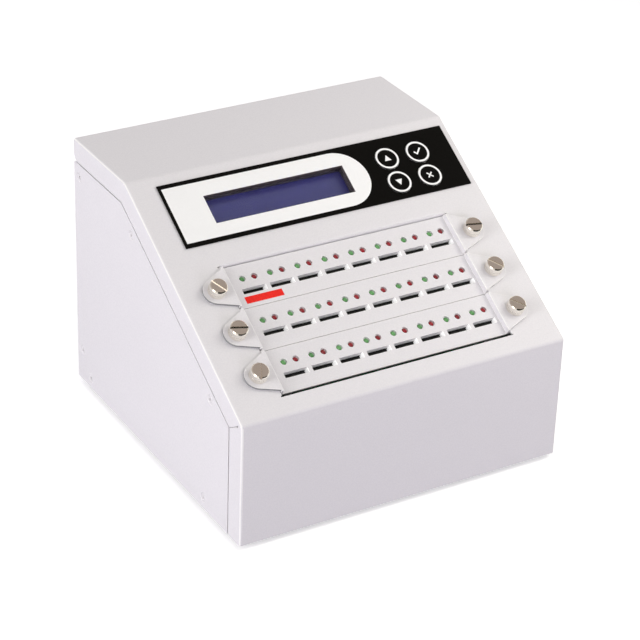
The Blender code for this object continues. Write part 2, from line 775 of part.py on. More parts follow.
def flange_cuts():
    """Rounds the flange's rear corner, and cuts its bend relief and holes."""
    shape = bmesh.new()
    corner_z = TOP - FLANGE_DEPTH
    centre = (BACK - FLANGE_CORNER, corner_z + FLANGE_CORNER)
    corner = [(centre[0], corner_z - OVERRUN)]
    corner += arc(centre, FLANGE_CORNER, -math.pi / 2, 0, CORNER_STEPS)
    corner += [(BACK + OVERRUN, centre[1]), (BACK + OVERRUN, corner_z - OVERRUN)]
    relief = (FRONT + RELIEF_SETBACK, BOTTOM + FRONT_HEIGHT - RELIEF_DROP)
    inner_corner = offset_path(cover_path(), TAB_END + OVERRUN)[1]
    slit = thin_strip(relief, inner_corner, SLIT_WIDTH)
    for side in (-1, 1):
        inner = side * (TAB_INNER_X - OVERRUN)
        outer = side * (HALF_WIDTH + OVERRUN)
        add_prism(shape, corner, "X", inner, outer)
        add_prism(shape, slit, "X", inner, outer)
        for place_on_side in side_screw_places()[-len(SLOPE_SCREW_LENGTH_SHARES):]:
            add_rod(shape, "X", place_on_side, SIDE_SCREW_HOLE_RADIUS, inner, outer)
    return shape


def thin_strip(start, end, width):
    """Narrow strip that runs from a round relief hole to a far point."""
    bearing = math.atan2(end[1] - start[1], end[0] - start[0])
    length = math.hypot(end[0] - start[0], end[1] - start[1])
    opening = math.asin(width / 2 / RELIEF_RADIUS)
    outline = arc(start, RELIEF_RADIUS, bearing + opening, bearing + 2 * math.pi - opening, RELIEF_STEPS)
    for sideways in (-width / 2, width / 2):
        y = start[0] + length * math.cos(bearing) - sideways * math.sin(bearing)
        z = start[1] + length * math.sin(bearing) + sideways * math.cos(bearing)
        outline.append((y, z))
    return outline


def chassis():
    """Base and rear wall in one bent sheet, with lips for the side panels."""
    lip_outer = HALF_WIDTH - SHEET - FIT
    right_side = [
        (lip_outer, 0),
        (lip_outer, LIP_DEPTH),
        (lip_outer - SHEET, LIP_DEPTH),
        (lip_outer - SHEET, SHEET),
    ]
    path = [
        (BACK, TOP - SHEET - FIT),
        (BACK, BOTTOM),
        (FRONT + SHEET + FIT, BOTTOM),
    ]
    shape, grid = swept_channel(path, mirrored_section(right_side))
    item = node("chassis", shape, painted_steel)
    cut(item, chassis_cuts())


def chassis_cuts():
    shape = bmesh.new()
    inner, outer = INSIDE_BACK - OVERRUN, BACK + OVERRUN
    inlet_z = BOTTOM + INLET_Z
    half_width, half_height = inlet_body_half_sizes()
    hole = rectangle(
        INLET_X - half_width - FIT, INLET_X + half_width + FIT,
        inlet_z - half_height - FIT, inlet_z + half_height + FIT,
    )
    add_prism(shape, hole, "Y", inner, outer)
    middle = (GRILLE_SLOT_COUNT - 1) / 2
    for i in range(GRILLE_SLOT_COUNT):
        height = (i - middle) * GRILLE_SLOT_PITCH
        edge = abs(height) + GRILLE_SLOT_HEIGHT / 2
        reach = math.sqrt(FAN_BORE_RADIUS ** 2 - edge ** 2)
        slot_low = BOTTOM + FAN_Z + height - GRILLE_SLOT_HEIGHT / 2
        slot = rectangle(FAN_X - reach, FAN_X + reach, slot_low, slot_low + GRILLE_SLOT_HEIGHT)
        add_prism(shape, slot, "Y", inner, outer)
    for place_on_wall in fan_rivet_places():
        add_rod(shape, "Y", place_on_wall, FAN_RIVET_RADIUS + SHANK_CLEARANCE, inner, outer)
    for i in range(VENT_COUNT):
        shift = (i - (VENT_COUNT - 1) / 2) * VENT_PITCH
        left = INLET_X + shift - VENT_WIDTH / 2
        low = BOTTOM + REAR_VENT_Z - VENT_LENGTH / 2
        add_prism(shape, rectangle(left, left + VENT_WIDTH, low, low + VENT_LENGTH), "Y", inner, outer)
        left = BASE_VENT_X + shift - VENT_WIDTH / 2
        low = FRONT + BASE_VENT_FRONT_GAP - VENT_LENGTH / 2
        vent = rectangle(left, left + VENT_WIDTH, low, low + VENT_LENGTH)
        add_prism(shape, vent, "Z", BOTTOM - OVERRUN, INSIDE_BOTTOM + OVERRUN)
    for place_on_base in foot_places():
        stem_hole = FOOT_STEM_RADIUS + SHANK_CLEARANCE
        add_rod(shape, "Z", place_on_base, stem_hole, BOTTOM - OVERRUN, INSIDE_BOTTOM + OVERRUN)
    lips = side_screw_places()[: -len(SLOPE_SCREW_LENGTH_SHARES)]
    for side in (-1, 1):
        for place_on_side in lips:
            start = side * (TAB_INNER_X - OVERRUN)
            end = side * (TAB_OUTER_X + OVERRUN)
            add_rod(shape, "X", place_on_side, SIDE_SCREW_HOLE_RADIUS, start, end)
    return shape


def side_panel(name, side):
    """Flat side sheet, flush with the flange of the cover around it."""
    outline = offset_path(cover_path(), FLANGE_DEPTH + SEAM)
    rear_y, rear_z = outline.pop()
    outline += arc((rear_y - PANEL_CORNER, rear_z - PANEL_CORNER), PANEL_CORNER, math.pi / 2, 0, CORNER_STEPS)
    outline.append((BACK, BOTTOM))
    shape = bmesh.new()
    add_prism(shape, outline, "X", side * (HALF_WIDTH - SHEET), side * HALF_WIDTH)
    item = node(name, shape, painted_steel)
    holes = bmesh.new()
    for y, z in side_screw_places():
        add_countersink(holes, side, y, z)
    cut(item, holes)


def add_countersink(shape, side, y, z):
    """Hole for a flat head screw, widest at the outer face of the panel."""
    hole = bmesh.new()
    profile = [
        (0, OVERRUN),
        (SIDE_SCREW_HOLE_RADIUS + SHEET + OVERRUN, OVERRUN),
        (SIDE_SCREW_HOLE_RADIUS, -SHEET),
        (SIDE_SCREW_HOLE_RADIUS, -SHEET - OVERRUN),
        (0, -SHEET - OVERRUN),
    ]
    add_turned(hole, profile, HOLE_STEPS)
    turn = Matrix.Rotation(side * math.pi / 2, 4, "Y")
    hole.transform(Matrix.Translation((side * HALF_WIDTH, y, z)) @ turn)
    add_copy(shape, hole)


def add_copy(shape, other):
    """Adds another shape's faces to this shape."""
    copies = {vert: shape.verts.new(vert.co) for vert in other.verts}
    for face in other.faces:
        shape.faces.new([copies[vert] for vert in face.verts])
    other.free()


def side_screws(name, side):
    """Flat head screws, flush with the outer face of the side panel."""
    profile = [
        (0, 0),
        (SIDE_SCREW_RADIUS + SHEET, 0),
        (SIDE_SCREW_RADIUS, -SHEET),
        (SIDE_SCREW_RADIUS, -SIDE_SCREW_LENGTH),
        (0, -SIDE_SCREW_LENGTH),
    ]
    outward = (0, side * math.pi / 2, 0)
    for number, (y, z) in enumerate(side_screw_places(), start=1):
        middle = (side * HALF_WIDTH, y, z)
        turned_node(f"{name}_{number}", profile, HOLE_STEPS, painted_steel, None, middle, outward)


def foot_places():
    x = HALF_WIDTH - FOOT_INSET
    return [(side * x, y) for side in (-1, 1) for y in (FRONT + FOOT_INSET, BACK - FOOT_INSET)]


def feet():
    """Push-in rubber feet, with a stem through the base."""
    stem_top = FOOT_HEIGHT + SHEET + FOOT_STEM_REACH
    profile = [
        (0, stem_top),
        (FOOT_STEM_RADIUS, stem_top),
        (FOOT_STEM_RADIUS, FOOT_HEIGHT - FIT),
        (FOOT_RADIUS, FOOT_HEIGHT - FIT),
        (FOOT_CROWN_RADIUS, 0),
        (0, 0),
    ]
    for number, (x, y) in enumerate(foot_places(), start=1):
        turned_node(f"foot_{number}", profile, ROUND_STEPS, rubber, None, (x, y, 0))


def ear_outline(side):
    """Rounded ear in (x, y): two tangents from the bend to the nose arc."""
    root_x = MODULE_HALF_WIDTH - SHEET / 2
    points = [(root_x, -EAR_ROOT_DROP)]
    centre = (THUMBSCREW_X, -THUMBSCREW_DROP)
    last = (root_x, EAR_ROOT_RISE - MODULE_PITCH)
    first_angle = tangent_angle(points[0], centre, 1)
    last_angle = tangent_angle(last, centre, -1)
    points += arc(centre, EAR_NOSE_RADIUS, first_angle, last_angle, EAR_NOSE_STEPS)
    points.append(last)
    return [(side * x, y) for x, y in points]


def tangent_angle(point, centre, turn):
    """Angle about the centre where a line from the point touches the nose."""
    dx, dy = point[0] - centre[0], point[1] - centre[1]
    bearing = math.atan2(turn * dy, dx)
    return turn * (bearing - math.acos(EAR_NOSE_RADIUS / math.hypot(dx, dy)))


def module_plate(name, carrier):
    """Bent module sheet: two ears on the slope and a sunken slotted floor."""
    shape = bmesh.new()
    section = [
        (MODULE_HALF_WIDTH, EAR_TOP),
        (MODULE_HALF_WIDTH, FLOOR_LOW),
        (-MODULE_HALF_WIDTH, FLOOR_LOW),
        (-MODULE_HALF_WIDTH, EAR_TOP),
        (-WALL_INNER_X, EAR_TOP),
        (-WALL_INNER_X, FLOOR_TOP),
        (WALL_INNER_X, FLOOR_TOP),
        (WALL_INNER_X, EAR_TOP),
    ]
    add_prism(shape, section, "Y", FIT / 2 - MODULE_PITCH, -FIT / 2)
    item = node(name, shape, painted_steel, carrier)
    added = bmesh.new()
    for side in (-1, 1):
        add_prism(added, ear_outline(side), "Z", EAR_LOW, EAR_TOP)
        for y in (-STUD_EDGE, STUD_EDGE - MODULE_PITCH):
            low, high = MODULE_BOARD_TOP + FIT, FLOOR_LOW + BITE
            add_rod(added, "Z", (side * STUD_X, y), STUD_RADIUS, low, high, SMALL_STEPS)
    join(item, added)
    cut(item, module_plate_cuts())


def module_plate_cuts():
    shape = bmesh.new()
    low, high = FLOOR_LOW - OVERRUN, FLOOR_TOP + OVERRUN
    add_slots(shape, low, high)
    for x in lamp_places():
        add_rod(shape, "Z", (x, -LAMP_DROP), LAMP_HOLE_RADIUS, low, high, SMALL_STEPS)
    for side in (-1, 1):
        screw = (side * THUMBSCREW_X, -THUMBSCREW_DROP)
        add_rod(shape, "Z", screw, SHANK_HOLE_RADIUS, -OVERRUN, EAR_TOP + OVERRUN)
        inner = side * (WALL_INNER_X - OVERRUN)
        outer = side * (MODULE_HALF_WIDTH + OVERRUN)
        notch = rectangle(inner, outer, -EAR_ROOT_DROP, OVERRUN)
        add_prism(shape, notch, "Z", EAR_LOW - NOTCH_DEPTH, EAR_TOP + OVERRUN)
    return shape


def slot_starts():
    return [SLOT_START_X + i * SLOT_PITCH for i in range(SLOT_COUNT)]


def lamp_places():
    return [start + LAMP_INSET + j * LAMP_SPACING for start in slot_starts() for j in (0, 1)]


def add_slots(shape, low, high):
    for start in slot_starts():
        slot = rectangle(start, start + SLOT_LENGTH, -SLOT_DROP - SLOT_HEIGHT / 2, SLOT_HEIGHT / 2 - SLOT_DROP)
        add_prism(shape, slot, "Z", low, high)


def slot_guide(name, carrier):
    """Plastic bar under the floor, which leads the cards to their sockets."""
    shape = bmesh.new()
    half = GUIDE_WIDTH / 2
    outline = rectangle(MODULE_BOARD_LEFT, MODULE_BOARD_RIGHT, -SLOT_DROP - half, half - SLOT_DROP)
    add_prism(shape, outline, "Z", GUIDE_LOW, GUIDE_TOP)
    item = node(name, shape, pale_plastic, carrier)
    holes = bmesh.new()
    add_slots(holes, GUIDE_LOW - OVERRUN, GUIDE_TOP + OVERRUN)
    cut(item, holes)


def socket_board(name, carrier):
    """Circuit board with its upright card sockets and the plug beneath."""
    shape = bmesh.new()
    outline = rectangle(MODULE_BOARD_LEFT, MODULE_BOARD_RIGHT, BOARD_EDGE - MODULE_PITCH, -BOARD_EDGE)
    add_prism(shape, outline, "Z", MODULE_BOARD_LOW, MODULE_BOARD_TOP)
    item = node(name, shape, circuit_board, carrier)
    sockets = bmesh.new()
    pockets = bmesh.new()
    for start in slot_starts():
        middle = start + SLOT_LENGTH / 2
        body = rectangle(
            middle - SOCKET_LENGTH / 2, middle + SOCKET_LENGTH / 2,
            -SLOT_DROP - SOCKET_WIDTH / 2, SOCKET_WIDTH / 2 - SLOT_DROP,
        )
        add_prism(sockets, body, "Z", MODULE_BOARD_TOP - BITE, SOCKET_TOP)
        card = rectangle(
            middle - CARD_WIDTH / 2, middle + CARD_WIDTH / 2,
            -SLOT_DROP - CARD_THICKNESS / 2, CARD_THICKNESS / 2 - SLOT_DROP,
        )
        add_prism(pockets, card, "Z", SOCKET_TOP - CARD_DEPTH, SOCKET_TOP + OVERRUN)
    plug = rectangle(-PLUG_LENGTH / 2, PLUG_LENGTH / 2, -PLUG_DROP - PLUG_WIDTH / 2, PLUG_WIDTH / 2 - PLUG_DROP)
    add_prism(sockets, plug, "Z", PLUG_LOW, MODULE_BOARD_LOW + BITE)
    join(item, sockets)
    cut(item, pockets)


def lamp_strip(name, carrier):
    """Holder bar with its row of domed lamps, one pair for each slot."""
    shape = bmesh.new()
    dome_top = FLOOR_TOP - LAMP_SINK
    bar_top = dome_top - LAMP_LENGTH
    half = LAMP_BAR_WIDTH / 2
    places = lamp_places()
    outline = rectangle(places[0] - half, places[-1] + half, -LAMP_DROP - half, half - LAMP_DROP)
    add_prism(shape, outline, "Z", MODULE_BOARD_TOP + FIT, bar_top)
    item = node(name, shape, lamp_plastic, carrier)
    domes = bmesh.new()
    for x in places:
        dome = bmesh.new()
        profile = [
            (0, dome_top),
            (LAMP_RADIUS * LAMP_CROWN_RADIUS_SHARE, dome_top - LAMP_SHOULDER * LAMP_CROWN_DROP_SHARE),
            (LAMP_RADIUS, dome_top - LAMP_SHOULDER),
            (LAMP_RADIUS, bar_top - BITE),
            (0, bar_top - BITE),
        ]
        add_turned(dome, profile, SMALL_STEPS)
        dome.transform(Matrix.Translation((x, -LAMP_DROP, 0)))
        add_copy(domes, dome)
    join(item, domes)


def thumbscrew_knob(name, carrier, x, turn_degrees):
    """Slotted knob and shank in one, turning about its own axis."""
    profile = [
        (0, KNOB_TOP),
        (KNOB_RADIUS - KNOB_CHAMFER, KNOB_TOP),
        (KNOB_RADIUS, KNOB_TOP - KNOB_CHAMFER),
        (KNOB_RADIUS, KNOB_LOW),
        (SHANK_RADIUS, KNOB_LOW),
        (SHANK_RADIUS, BUSH_LOW),
        (0, BUSH_LOW),
    ]
    item = turned_node(name, profile, ROUND_STEPS, plated_steel, carrier, (x, -THUMBSCREW_DROP, 0))
    slot = bmesh.new()
    half = KNOB_SLOT_WIDTH / 2
    reach = KNOB_RADIUS + OVERRUN
    outline = rectangle(-reach, reach, -half, half)
    add_prism(slot, outline, "Z", KNOB_TOP - KNOB_SLOT_DEPTH, KNOB_TOP + OVERRUN)
    slot.transform(Matrix.Rotation(math.radians(turn_degrees), 4, "Z"))
    cut(item, slot)


def thumbscrew_collar(name, carrier, x):
    """Loose sleeve under the knob, which rises with it."""
    profile = [
        (SHANK_HOLE_RADIUS, COLLAR_TOP),
        (COLLAR_RADIUS, COLLAR_TOP),
        (COLLAR_RADIUS, COLLAR_LOW),
        (SHANK_HOLE_RADIUS, COLLAR_LOW),
        (SHANK_HOLE_RADIUS, COLLAR_TOP),
    ]
    turned_node(name, profile, ROUND_STEPS, plated_steel, carrier, (x, -THUMBSCREW_DROP, 0))


def card_modules(slope):
    for number, top in enumerate(module_tops(), start=1):
        name = f"module_{number}"
        carrier = place(f"{name}_frame", None, slope, (0, top, 0))
        module_plate(f"{name}_plate", carrier)
        slot_guide(f"{name}_slot_guide", carrier)
        socket_board(f"{name}_socket_board", carrier)
        lamp_strip(f"{name}_lamp_strip", carrier)
        for side_name, side, turns in (("left", -1, LEFT_SLOT_DEGREES), ("right", 1, RIGHT_SLOT_DEGREES)):
            x = side * THUMBSCREW_X
            thumbscrew_knob(f"{name}_{side_name}_knob", carrier, x, turns[number - 1])
            thumbscrew_collar(f"{name}_{side_name}_collar", carrier, x)


def main_board(slope):
    """Board behind the modules, with a header for each and a heat sink."""
    shape = bmesh.new()
    outline = rectangle(-MAIN_BOARD_HALF_WIDTH, MAIN_BOARD_HALF_WIDTH, MAIN_BOARD_START, MAIN_BOARD_END)
    add_prism(shape, outline, "Z", MAIN_BOARD_LOW, MAIN_BOARD_TOP)
    item = node("main_board", shape, circuit_board, slope)
    headers = bmesh.new()
    pockets = bmesh.new()
    inner_x = PLUG_LENGTH / 2 + FIT
    inner_y = PLUG_WIDTH / 2 + FIT
    for top in module_tops():
        middle = top - PLUG_DROP
        outer_x, outer_y = inner_x + HEADER_WALL, inner_y + HEADER_WALL
        body = rectangle(-outer_x, outer_x, middle - outer_y, middle + outer_y)
        add_prism(headers, body, "Z", MAIN_BOARD_TOP - BITE, HEADER_TOP)
        pocket = rectangle(-inner_x, inner_x, middle - inner_y, middle + inner_y)
        add_prism(pockets, pocket, "Z", PLUG_LOW - FIT, HEADER_TOP + OVERRUN)
    middle = (MAIN_BOARD_START + MAIN_BOARD_END) / 2
    half = SINK_SIZE / 2
    base_low = MAIN_BOARD_LOW - SINK_BASE
    base = rectangle(-half, half, middle - half, middle + half)
    add_prism(headers, base, "Z", base_low, MAIN_BOARD_LOW + BITE)
    join(item, headers)
    fins = bmesh.new()
    for i in range(SINK_FIN_COUNT):
        left = -half + i * (SINK_SIZE - SINK_FIN_THICKNESS) / (SINK_FIN_COUNT - 1)
        fin = rectangle(left, left + SINK_FIN_THICKNESS, middle - half, middle + half)
        add_prism(fins, fin, "Z", MAIN_BOARD_LOW - SINK_HEIGHT, base_low + BITE)
    join(item, fins, "_fins")
    cut(item, pockets)


def overlay(slope):
    """Thin front sheet with a window and round openings for the keys."""
    shape = bmesh.new()
    outline = rectangle(OVERLAY_LEFT, OVERLAY_RIGHT, OVERLAY_LOW, OVERLAY_HIGH)
    add_prism(shape, outline, "Z", FIT, OVERLAY_TOP)
    item = node("overlay", shape, black_plastic, slope)
    holes = bmesh.new()
    window = rectangle(WINDOW_LEFT, WINDOW_RIGHT, WINDOW_LOW, WINDOW_HIGH)
    add_prism(holes, window, "Z", -OVERRUN, OVERLAY_TOP + OVERRUN)
    for place_on_slope in key_places():
        add_rod(holes, "Z", place_on_slope, KEY_HOLE_RADIUS, -OVERRUN, OVERLAY_TOP + OVERRUN, ROUND_STEPS)
    cut(item, holes)


def keys(slope):
    """Four keys: a round cap, a stem through the cover and a foot below."""
    profile = [
        (0, KEY_TOP),
        (KEY_RADIUS, KEY_TOP),
        (KEY_RADIUS, OVERLAY_TOP),
        (KEY_STEM_RADIUS, OVERLAY_TOP),
        (KEY_STEM_RADIUS, KEY_FOOT_TOP),
        (KEY_FOOT_RADIUS, KEY_FOOT_TOP),
        (KEY_FOOT_RADIUS, KEY_FOOT_LOW),
        (0, KEY_FOOT_LOW),
    ]
    for name, (x, y) in zip(("key_up", "key_confirm", "key_down", "key_back"), key_places()):
        turned_node(name, profile, ROUND_STEPS, black_plastic, slope, (x, y, 0))


def key_board(slope):
    """Small board with a push switch under each key."""
    shape = bmesh.new()
    low = KEY_BOARD_TOP - BOARD_THICKNESS
    add_prism(shape, key_board_limits(), "Z", low, KEY_BOARD_TOP)
    item = node("key_board", shape, circuit_board, slope)
    switches = bmesh.new()
    plungers = bmesh.new()
    half = SWITCH_SIZE / 2
    top = KEY_BOARD_TOP + SWITCH_HEIGHT
    for x, y in key_places():
        add_prism(switches, rectangle(x - half, x + half, y - half, y + half), "Z", KEY_BOARD_TOP - BITE, top)
        add_rod(plungers, "Z", (x, y), PLUNGER_RADIUS, top - BITE, PLUNGER_TOP, SMALL_STEPS)
    join(item, switches, "_switches")
    join(item, plungers, "_plungers")


def display(slope):
    """Clear lens under the cover and the character display behind it."""
    lens = bmesh.new()
    add_prism(
        lens,
        rectangle(
            WINDOW_LEFT - LENS_MARGIN, WINDOW_RIGHT + LENS_MARGIN,
            WINDOW_LOW - LENS_MARGIN, WINDOW_HIGH + LENS_MARGIN,
        ),
        "Z", LENS_LOW, LENS_TOP,
    )
    node("display_lens", lens, clear_lens, slope)
    board = bmesh.new()
    add_prism(
        board,
        rectangle(
            WINDOW_LEFT - DISPLAY_BOARD_MARGIN_X, WINDOW_RIGHT + DISPLAY_BOARD_MARGIN_X,
            WINDOW_LOW - DISPLAY_BOARD_MARGIN_Y, WINDOW_HIGH + DISPLAY_BOARD_MARGIN_Y,
        ),
        "Z", DISPLAY_BOARD_TOP - BOARD_THICKNESS, DISPLAY_BOARD_TOP,
    )
    item = node("display_module", board, display_blue, slope)
    bezel = bmesh.new()
    add_prism(
        bezel,
        rectangle(
            WINDOW_LEFT - BEZEL_MARGIN_X, WINDOW_RIGHT + BEZEL_MARGIN_X,
            WINDOW_LOW - BEZEL_MARGIN_Y, WINDOW_HIGH + BEZEL_MARGIN_Y,
        ),
        "Z", DISPLAY_BOARD_TOP - BITE, BEZEL_TOP,
    )
    join(item, bezel)


def power_supply():
    """Enclosed supply on four legs on the base."""
    left = -HALF_WIDTH + SUPPLY_SIDE_GAP
    rear = BACK - SUPPLY_REAR_GAP
    leg_low = INSIDE_BOTTOM + FIT
    low = leg_low + SUPPLY_LEG_HEIGHT
    shape = bmesh.new()
    add_block(shape, (left, rear - SUPPLY_DEPTH, low), (left + SUPPLY_WIDTH, rear, low + SUPPLY_HEIGHT))
    item = node("power_supply", shape, bare_aluminium)
    legs = bmesh.new()
    for x in (left + SUPPLY_LEG_INSET, left + SUPPLY_WIDTH - SUPPLY_LEG_INSET):
        for y in (rear - SUPPLY_LEG_INSET, rear - SUPPLY_DEPTH + SUPPLY_LEG_INSET):
            add_rod(legs, "Z", (x, y), SUPPLY_LEG_RADIUS, leg_low, low + BITE)
    join(item, legs)


def inlet_body_half_sizes():
    return INLET_FLANGE_WIDTH / 2 - INLET_RIM, INLET_FLANGE_HEIGHT / 2 - INLET_RIM


def rocker_axis():
    """Place of the rocker's pivot line: y and z."""
    return (BACK + FIT + INLET_FLANGE_THICKNESS - ROCKER_PIVOT_DEPTH, BOTTOM + INLET_Z + ROCKER_RISE)


def power_inlet():
    """Mains inlet with three pins, and the well of the rocker switch."""
    face = BACK + FIT + INLET_FLANGE_THICKNESS
    middle = BOTTOM + INLET_Z
    half_width, half_height = inlet_body_half_sizes()
    shape = bmesh.new()
    body = rectangle(INLET_X - half_width, INLET_X + half_width, middle - half_height, middle + half_height)
    add_prism(shape, body, "Y", BACK - INLET_BODY_DEPTH, BACK + FIT + BITE)
    item = node("power_inlet", shape, black_plastic)
    flange = bmesh.new()
    add_prism(
        flange,
        rectangle(
            INLET_X - INLET_FLANGE_WIDTH / 2, INLET_X + INLET_FLANGE_WIDTH / 2,
            middle - INLET_FLANGE_HEIGHT / 2, middle + INLET_FLANGE_HEIGHT / 2,
        ),
        "Y", BACK + FIT, face,
    )
    join(item, flange, "_flange")
    cut(item, inlet_hollows(face, middle), "_hollows")
    cut(item, rocker_bore(), "_bore")
    pins = bmesh.new()
    root = face - SOCKET_MOUTH_DEPTH - BITE
    for x, z in ((-PIN_SPREAD, -PIN_RISE), (0, PIN_RISE), (PIN_SPREAD, -PIN_RISE)):
        pin_x, pin_z = INLET_X + x, middle - SOCKET_MOUTH_DROP + z
        add_prism(
            pins,
            rectangle(
                pin_x - PIN_WIDTH / 2, pin_x + PIN_WIDTH / 2,
                pin_z - PIN_HEIGHT / 2, pin_z + PIN_HEIGHT / 2,
            ),
            "Y", root, face - PIN_SINK,
        )
    join(item, pins, "_pins")


def inlet_hollows(face, middle):
    shape = bmesh.new()
    half_x, half_z = SOCKET_MOUTH_WIDTH / 2, SOCKET_MOUTH_HEIGHT / 2
    mouth_z = middle - SOCKET_MOUTH_DROP
    mouth = [
        (INLET_X - half_x, mouth_z - half_z),
        (INLET_X + half_x, mouth_z - half_z),
        (INLET_X + half_x, mouth_z + half_z - SOCKET_MOUTH_CORNER),
        (INLET_X + half_x - SOCKET_MOUTH_CORNER, mouth_z + half_z),
        (INLET_X - half_x + SOCKET_MOUTH_CORNER, mouth_z + half_z),
        (INLET_X - half_x, mouth_z + half_z - SOCKET_MOUTH_CORNER),
    ]
    add_prism(shape, mouth, "Y", face - SOCKET_MOUTH_DEPTH, face + OVERRUN)
    axis_z = rocker_axis()[1]
    half_x = ROCKER_WIDTH / 2 + FIT
    half_z = ROCKER_HEIGHT / 2 + FIT
    well = rectangle(INLET_X - half_x, INLET_X + half_x, axis_z - half_z, axis_z + half_z)
    add_prism(shape, well, "Y", face - ROCKER_WELL_DEPTH, face + OVERRUN)
    return shape


def rocker_bore():
    """Blind bore across the well, for the two stubs of the rocker."""
    shape = bmesh.new()
    reach = ROCKER_WIDTH / 2 + ROCKER_PIVOT_STUB + SHANK_CLEARANCE
    radius = ROCKER_PIVOT_RADIUS + SHANK_CLEARANCE
    add_rod(shape, "X", rocker_axis(), radius, INLET_X - reach, INLET_X + reach, SMALL_STEPS)
    return shape


def rocker():
    """Switch rocker with a shallow valley, at rest turned to its off side."""
    axis_y, axis_z = rocker_axis()
    tilt = math.radians(ROCKER_SWING_DEGREES) / 2
    half = ROCKER_HEIGHT / 2 - ROCKER_END_GAP
    crest = (ROCKER_PIVOT_DEPTH + ROCKER_STAND - half * math.sin(tilt)) / math.cos(tilt)
    valley = crest - half * math.tan(tilt)
    back = -ROCKER_PIVOT_RADIUS - ROCKER_BACK_WALL
    spine = half * ROCKER_SPINE_SHARE
    outline = [
        (crest, half),
        (valley, 0),
        (crest, -half),
        (crest - ROCKER_THICKNESS, -half),
        (back, -spine),
        (back, spine),
        (crest - ROCKER_THICKNESS, half),
    ]
    shape = bmesh.new()
    add_prism(shape, outline, "X", -ROCKER_WIDTH / 2, ROCKER_WIDTH / 2)
    item = node("power_rocker", shape, black_plastic, None, (INLET_X, axis_y, axis_z), (-tilt, 0, 0))
    stubs = bmesh.new()
    reach = ROCKER_WIDTH / 2 + ROCKER_PIVOT_STUB
    add_rod(stubs, "X", (0, 0), ROCKER_PIVOT_RADIUS, -reach, reach, SMALL_STEPS)
    join(item, stubs)


def fan_rivet_places():
    reach = FAN_SIZE / 2 - FAN_RIVET_INSET
    return [(FAN_X + a * reach, BOTTOM + FAN_Z + b * reach) for a in (-1, 1) for b in (-1, 1)]


def fan_frame():
    """Square fan frame with its motor web, shaft and push rivets."""
    rear = INSIDE_BACK - FIT
    front = rear - FAN_DEPTH
    middle = BOTTOM + FAN_Z
    half = FAN_SIZE / 2
    shape = bmesh.new()
    add_prism(shape, rectangle(FAN_X - half, FAN_X + half, middle - half, middle + half), "Y", front, rear)
    item = node("fan_frame", shape, black_plastic)
    bore = bmesh.new()
    add_rod(bore, "Y", (FAN_X, middle), FAN_BORE_RADIUS, front - OVERRUN, rear + OVERRUN, FAN_STEPS)
    cut(item, bore)
    struts = bmesh.new()
    reach = FAN_BORE_RADIUS + BITE
    strut = FAN_STRUT_WIDTH / 2
    web = front + FAN_WEB_THICKNESS
    cross = [
        (-reach, -strut), (-strut, -strut), (-strut, -reach), (strut, -reach), (strut, -strut), (reach, -strut),
        (reach, strut), (strut, strut), (strut, reach), (-strut, reach), (-strut, strut), (-reach, strut),
    ]
    add_prism(struts, [(FAN_X + x, middle + z) for x, z in cross], "Y", front, web)
    join(item, struts, "_struts")
    hub = bmesh.new()
    add_rod(hub, "Y", (FAN_X, middle), FAN_HUB_RADIUS, front - BITE, web + BITE, ROUND_STEPS)
    join(item, hub, "_hub")
    shaft = bmesh.new()
    add_rod(shaft, "Y", (FAN_X, middle), FAN_SHAFT_RADIUS, web, web + BITE + FAN_SHAFT_LENGTH, SMALL_STEPS)
    join(item, shaft, "_shaft")
    shanks = bmesh.new()
    heads = bmesh.new()
    for place_on_wall in fan_rivet_places():
        add_rod(shanks, "Y", place_on_wall, FAN_RIVET_RADIUS, rear - BITE, BACK + FIT + BITE, SMALL_STEPS)
        add_rod(heads, "Y", place_on_wall, FAN_RIVET_HEAD_RADIUS, BACK + FIT, BACK + FIT + FAN_RIVET_HEAD)
    join(item, shanks, "_shanks")
    join(item, heads, "_heads")


def fan_rotor():
    """Hub with pitched blades, turning about the fan's shaft."""
    front = INSIDE_BACK - FIT - FAN_DEPTH + FAN_WEB_THICKNESS + BITE + FIT
    rear = INSIDE_BACK - FIT - FAN_FACE_GAP
    length = rear - front
    shape = bmesh.new()
    add_turned(
        shape,
        [(0, length), (FAN_HUB_RADIUS, length), (FAN_HUB_RADIUS, 0), (0, 0)],
        ROUND_STEPS,
    )
    turned_to_rear = (-math.pi / 2, 0, 0)
    item = node("fan_rotor", shape, black_plastic, None, (FAN_X, front, BOTTOM + FAN_Z), turned_to_rear)
    blades = bmesh.new()
    root = FAN_HUB_RADIUS * FAN_BLADE_ROOT_SHARE
    tip = FAN_BORE_RADIUS - FAN_TIP_GAP
    for i in range(FAN_BLADE_COUNT):
        blade = bmesh.new()
        half_chord = FAN_BLADE_CHORD / 2
        half_thick = FAN_BLADE_THICKNESS / 2
        section = rectangle(-half_chord, half_chord, -half_thick, half_thick)
        add_prism(blade, section, "X", root, tip)
        blade.transform(Matrix.Rotation(math.radians(FAN_BLADE_DEGREES), 4, "X"))
        blade.transform(Matrix.Rotation(2 * math.pi * i / FAN_BLADE_COUNT, 4, "Z"))
        blade.transform(Matrix.Translation((0, 0, length / 2)))
        add_copy(blades, blade)
    join(item, blades)
    bore = bmesh.new()
    add_rod(bore, "Z", (0, 0), FAN_SHAFT_RADIUS + FIT, -OVERRUN, FAN_SHAFT_LENGTH + FIT, SMALL_STEPS)
    cut(item, bore)


def slope_frame():
    frame = place("slope_frame", None, None, (0, FRONT, BOTTOM + FRONT_HEIGHT), (SLOPE_ANGLE, 0, 0))
    bpy.context.view_layer.update()
    return frame


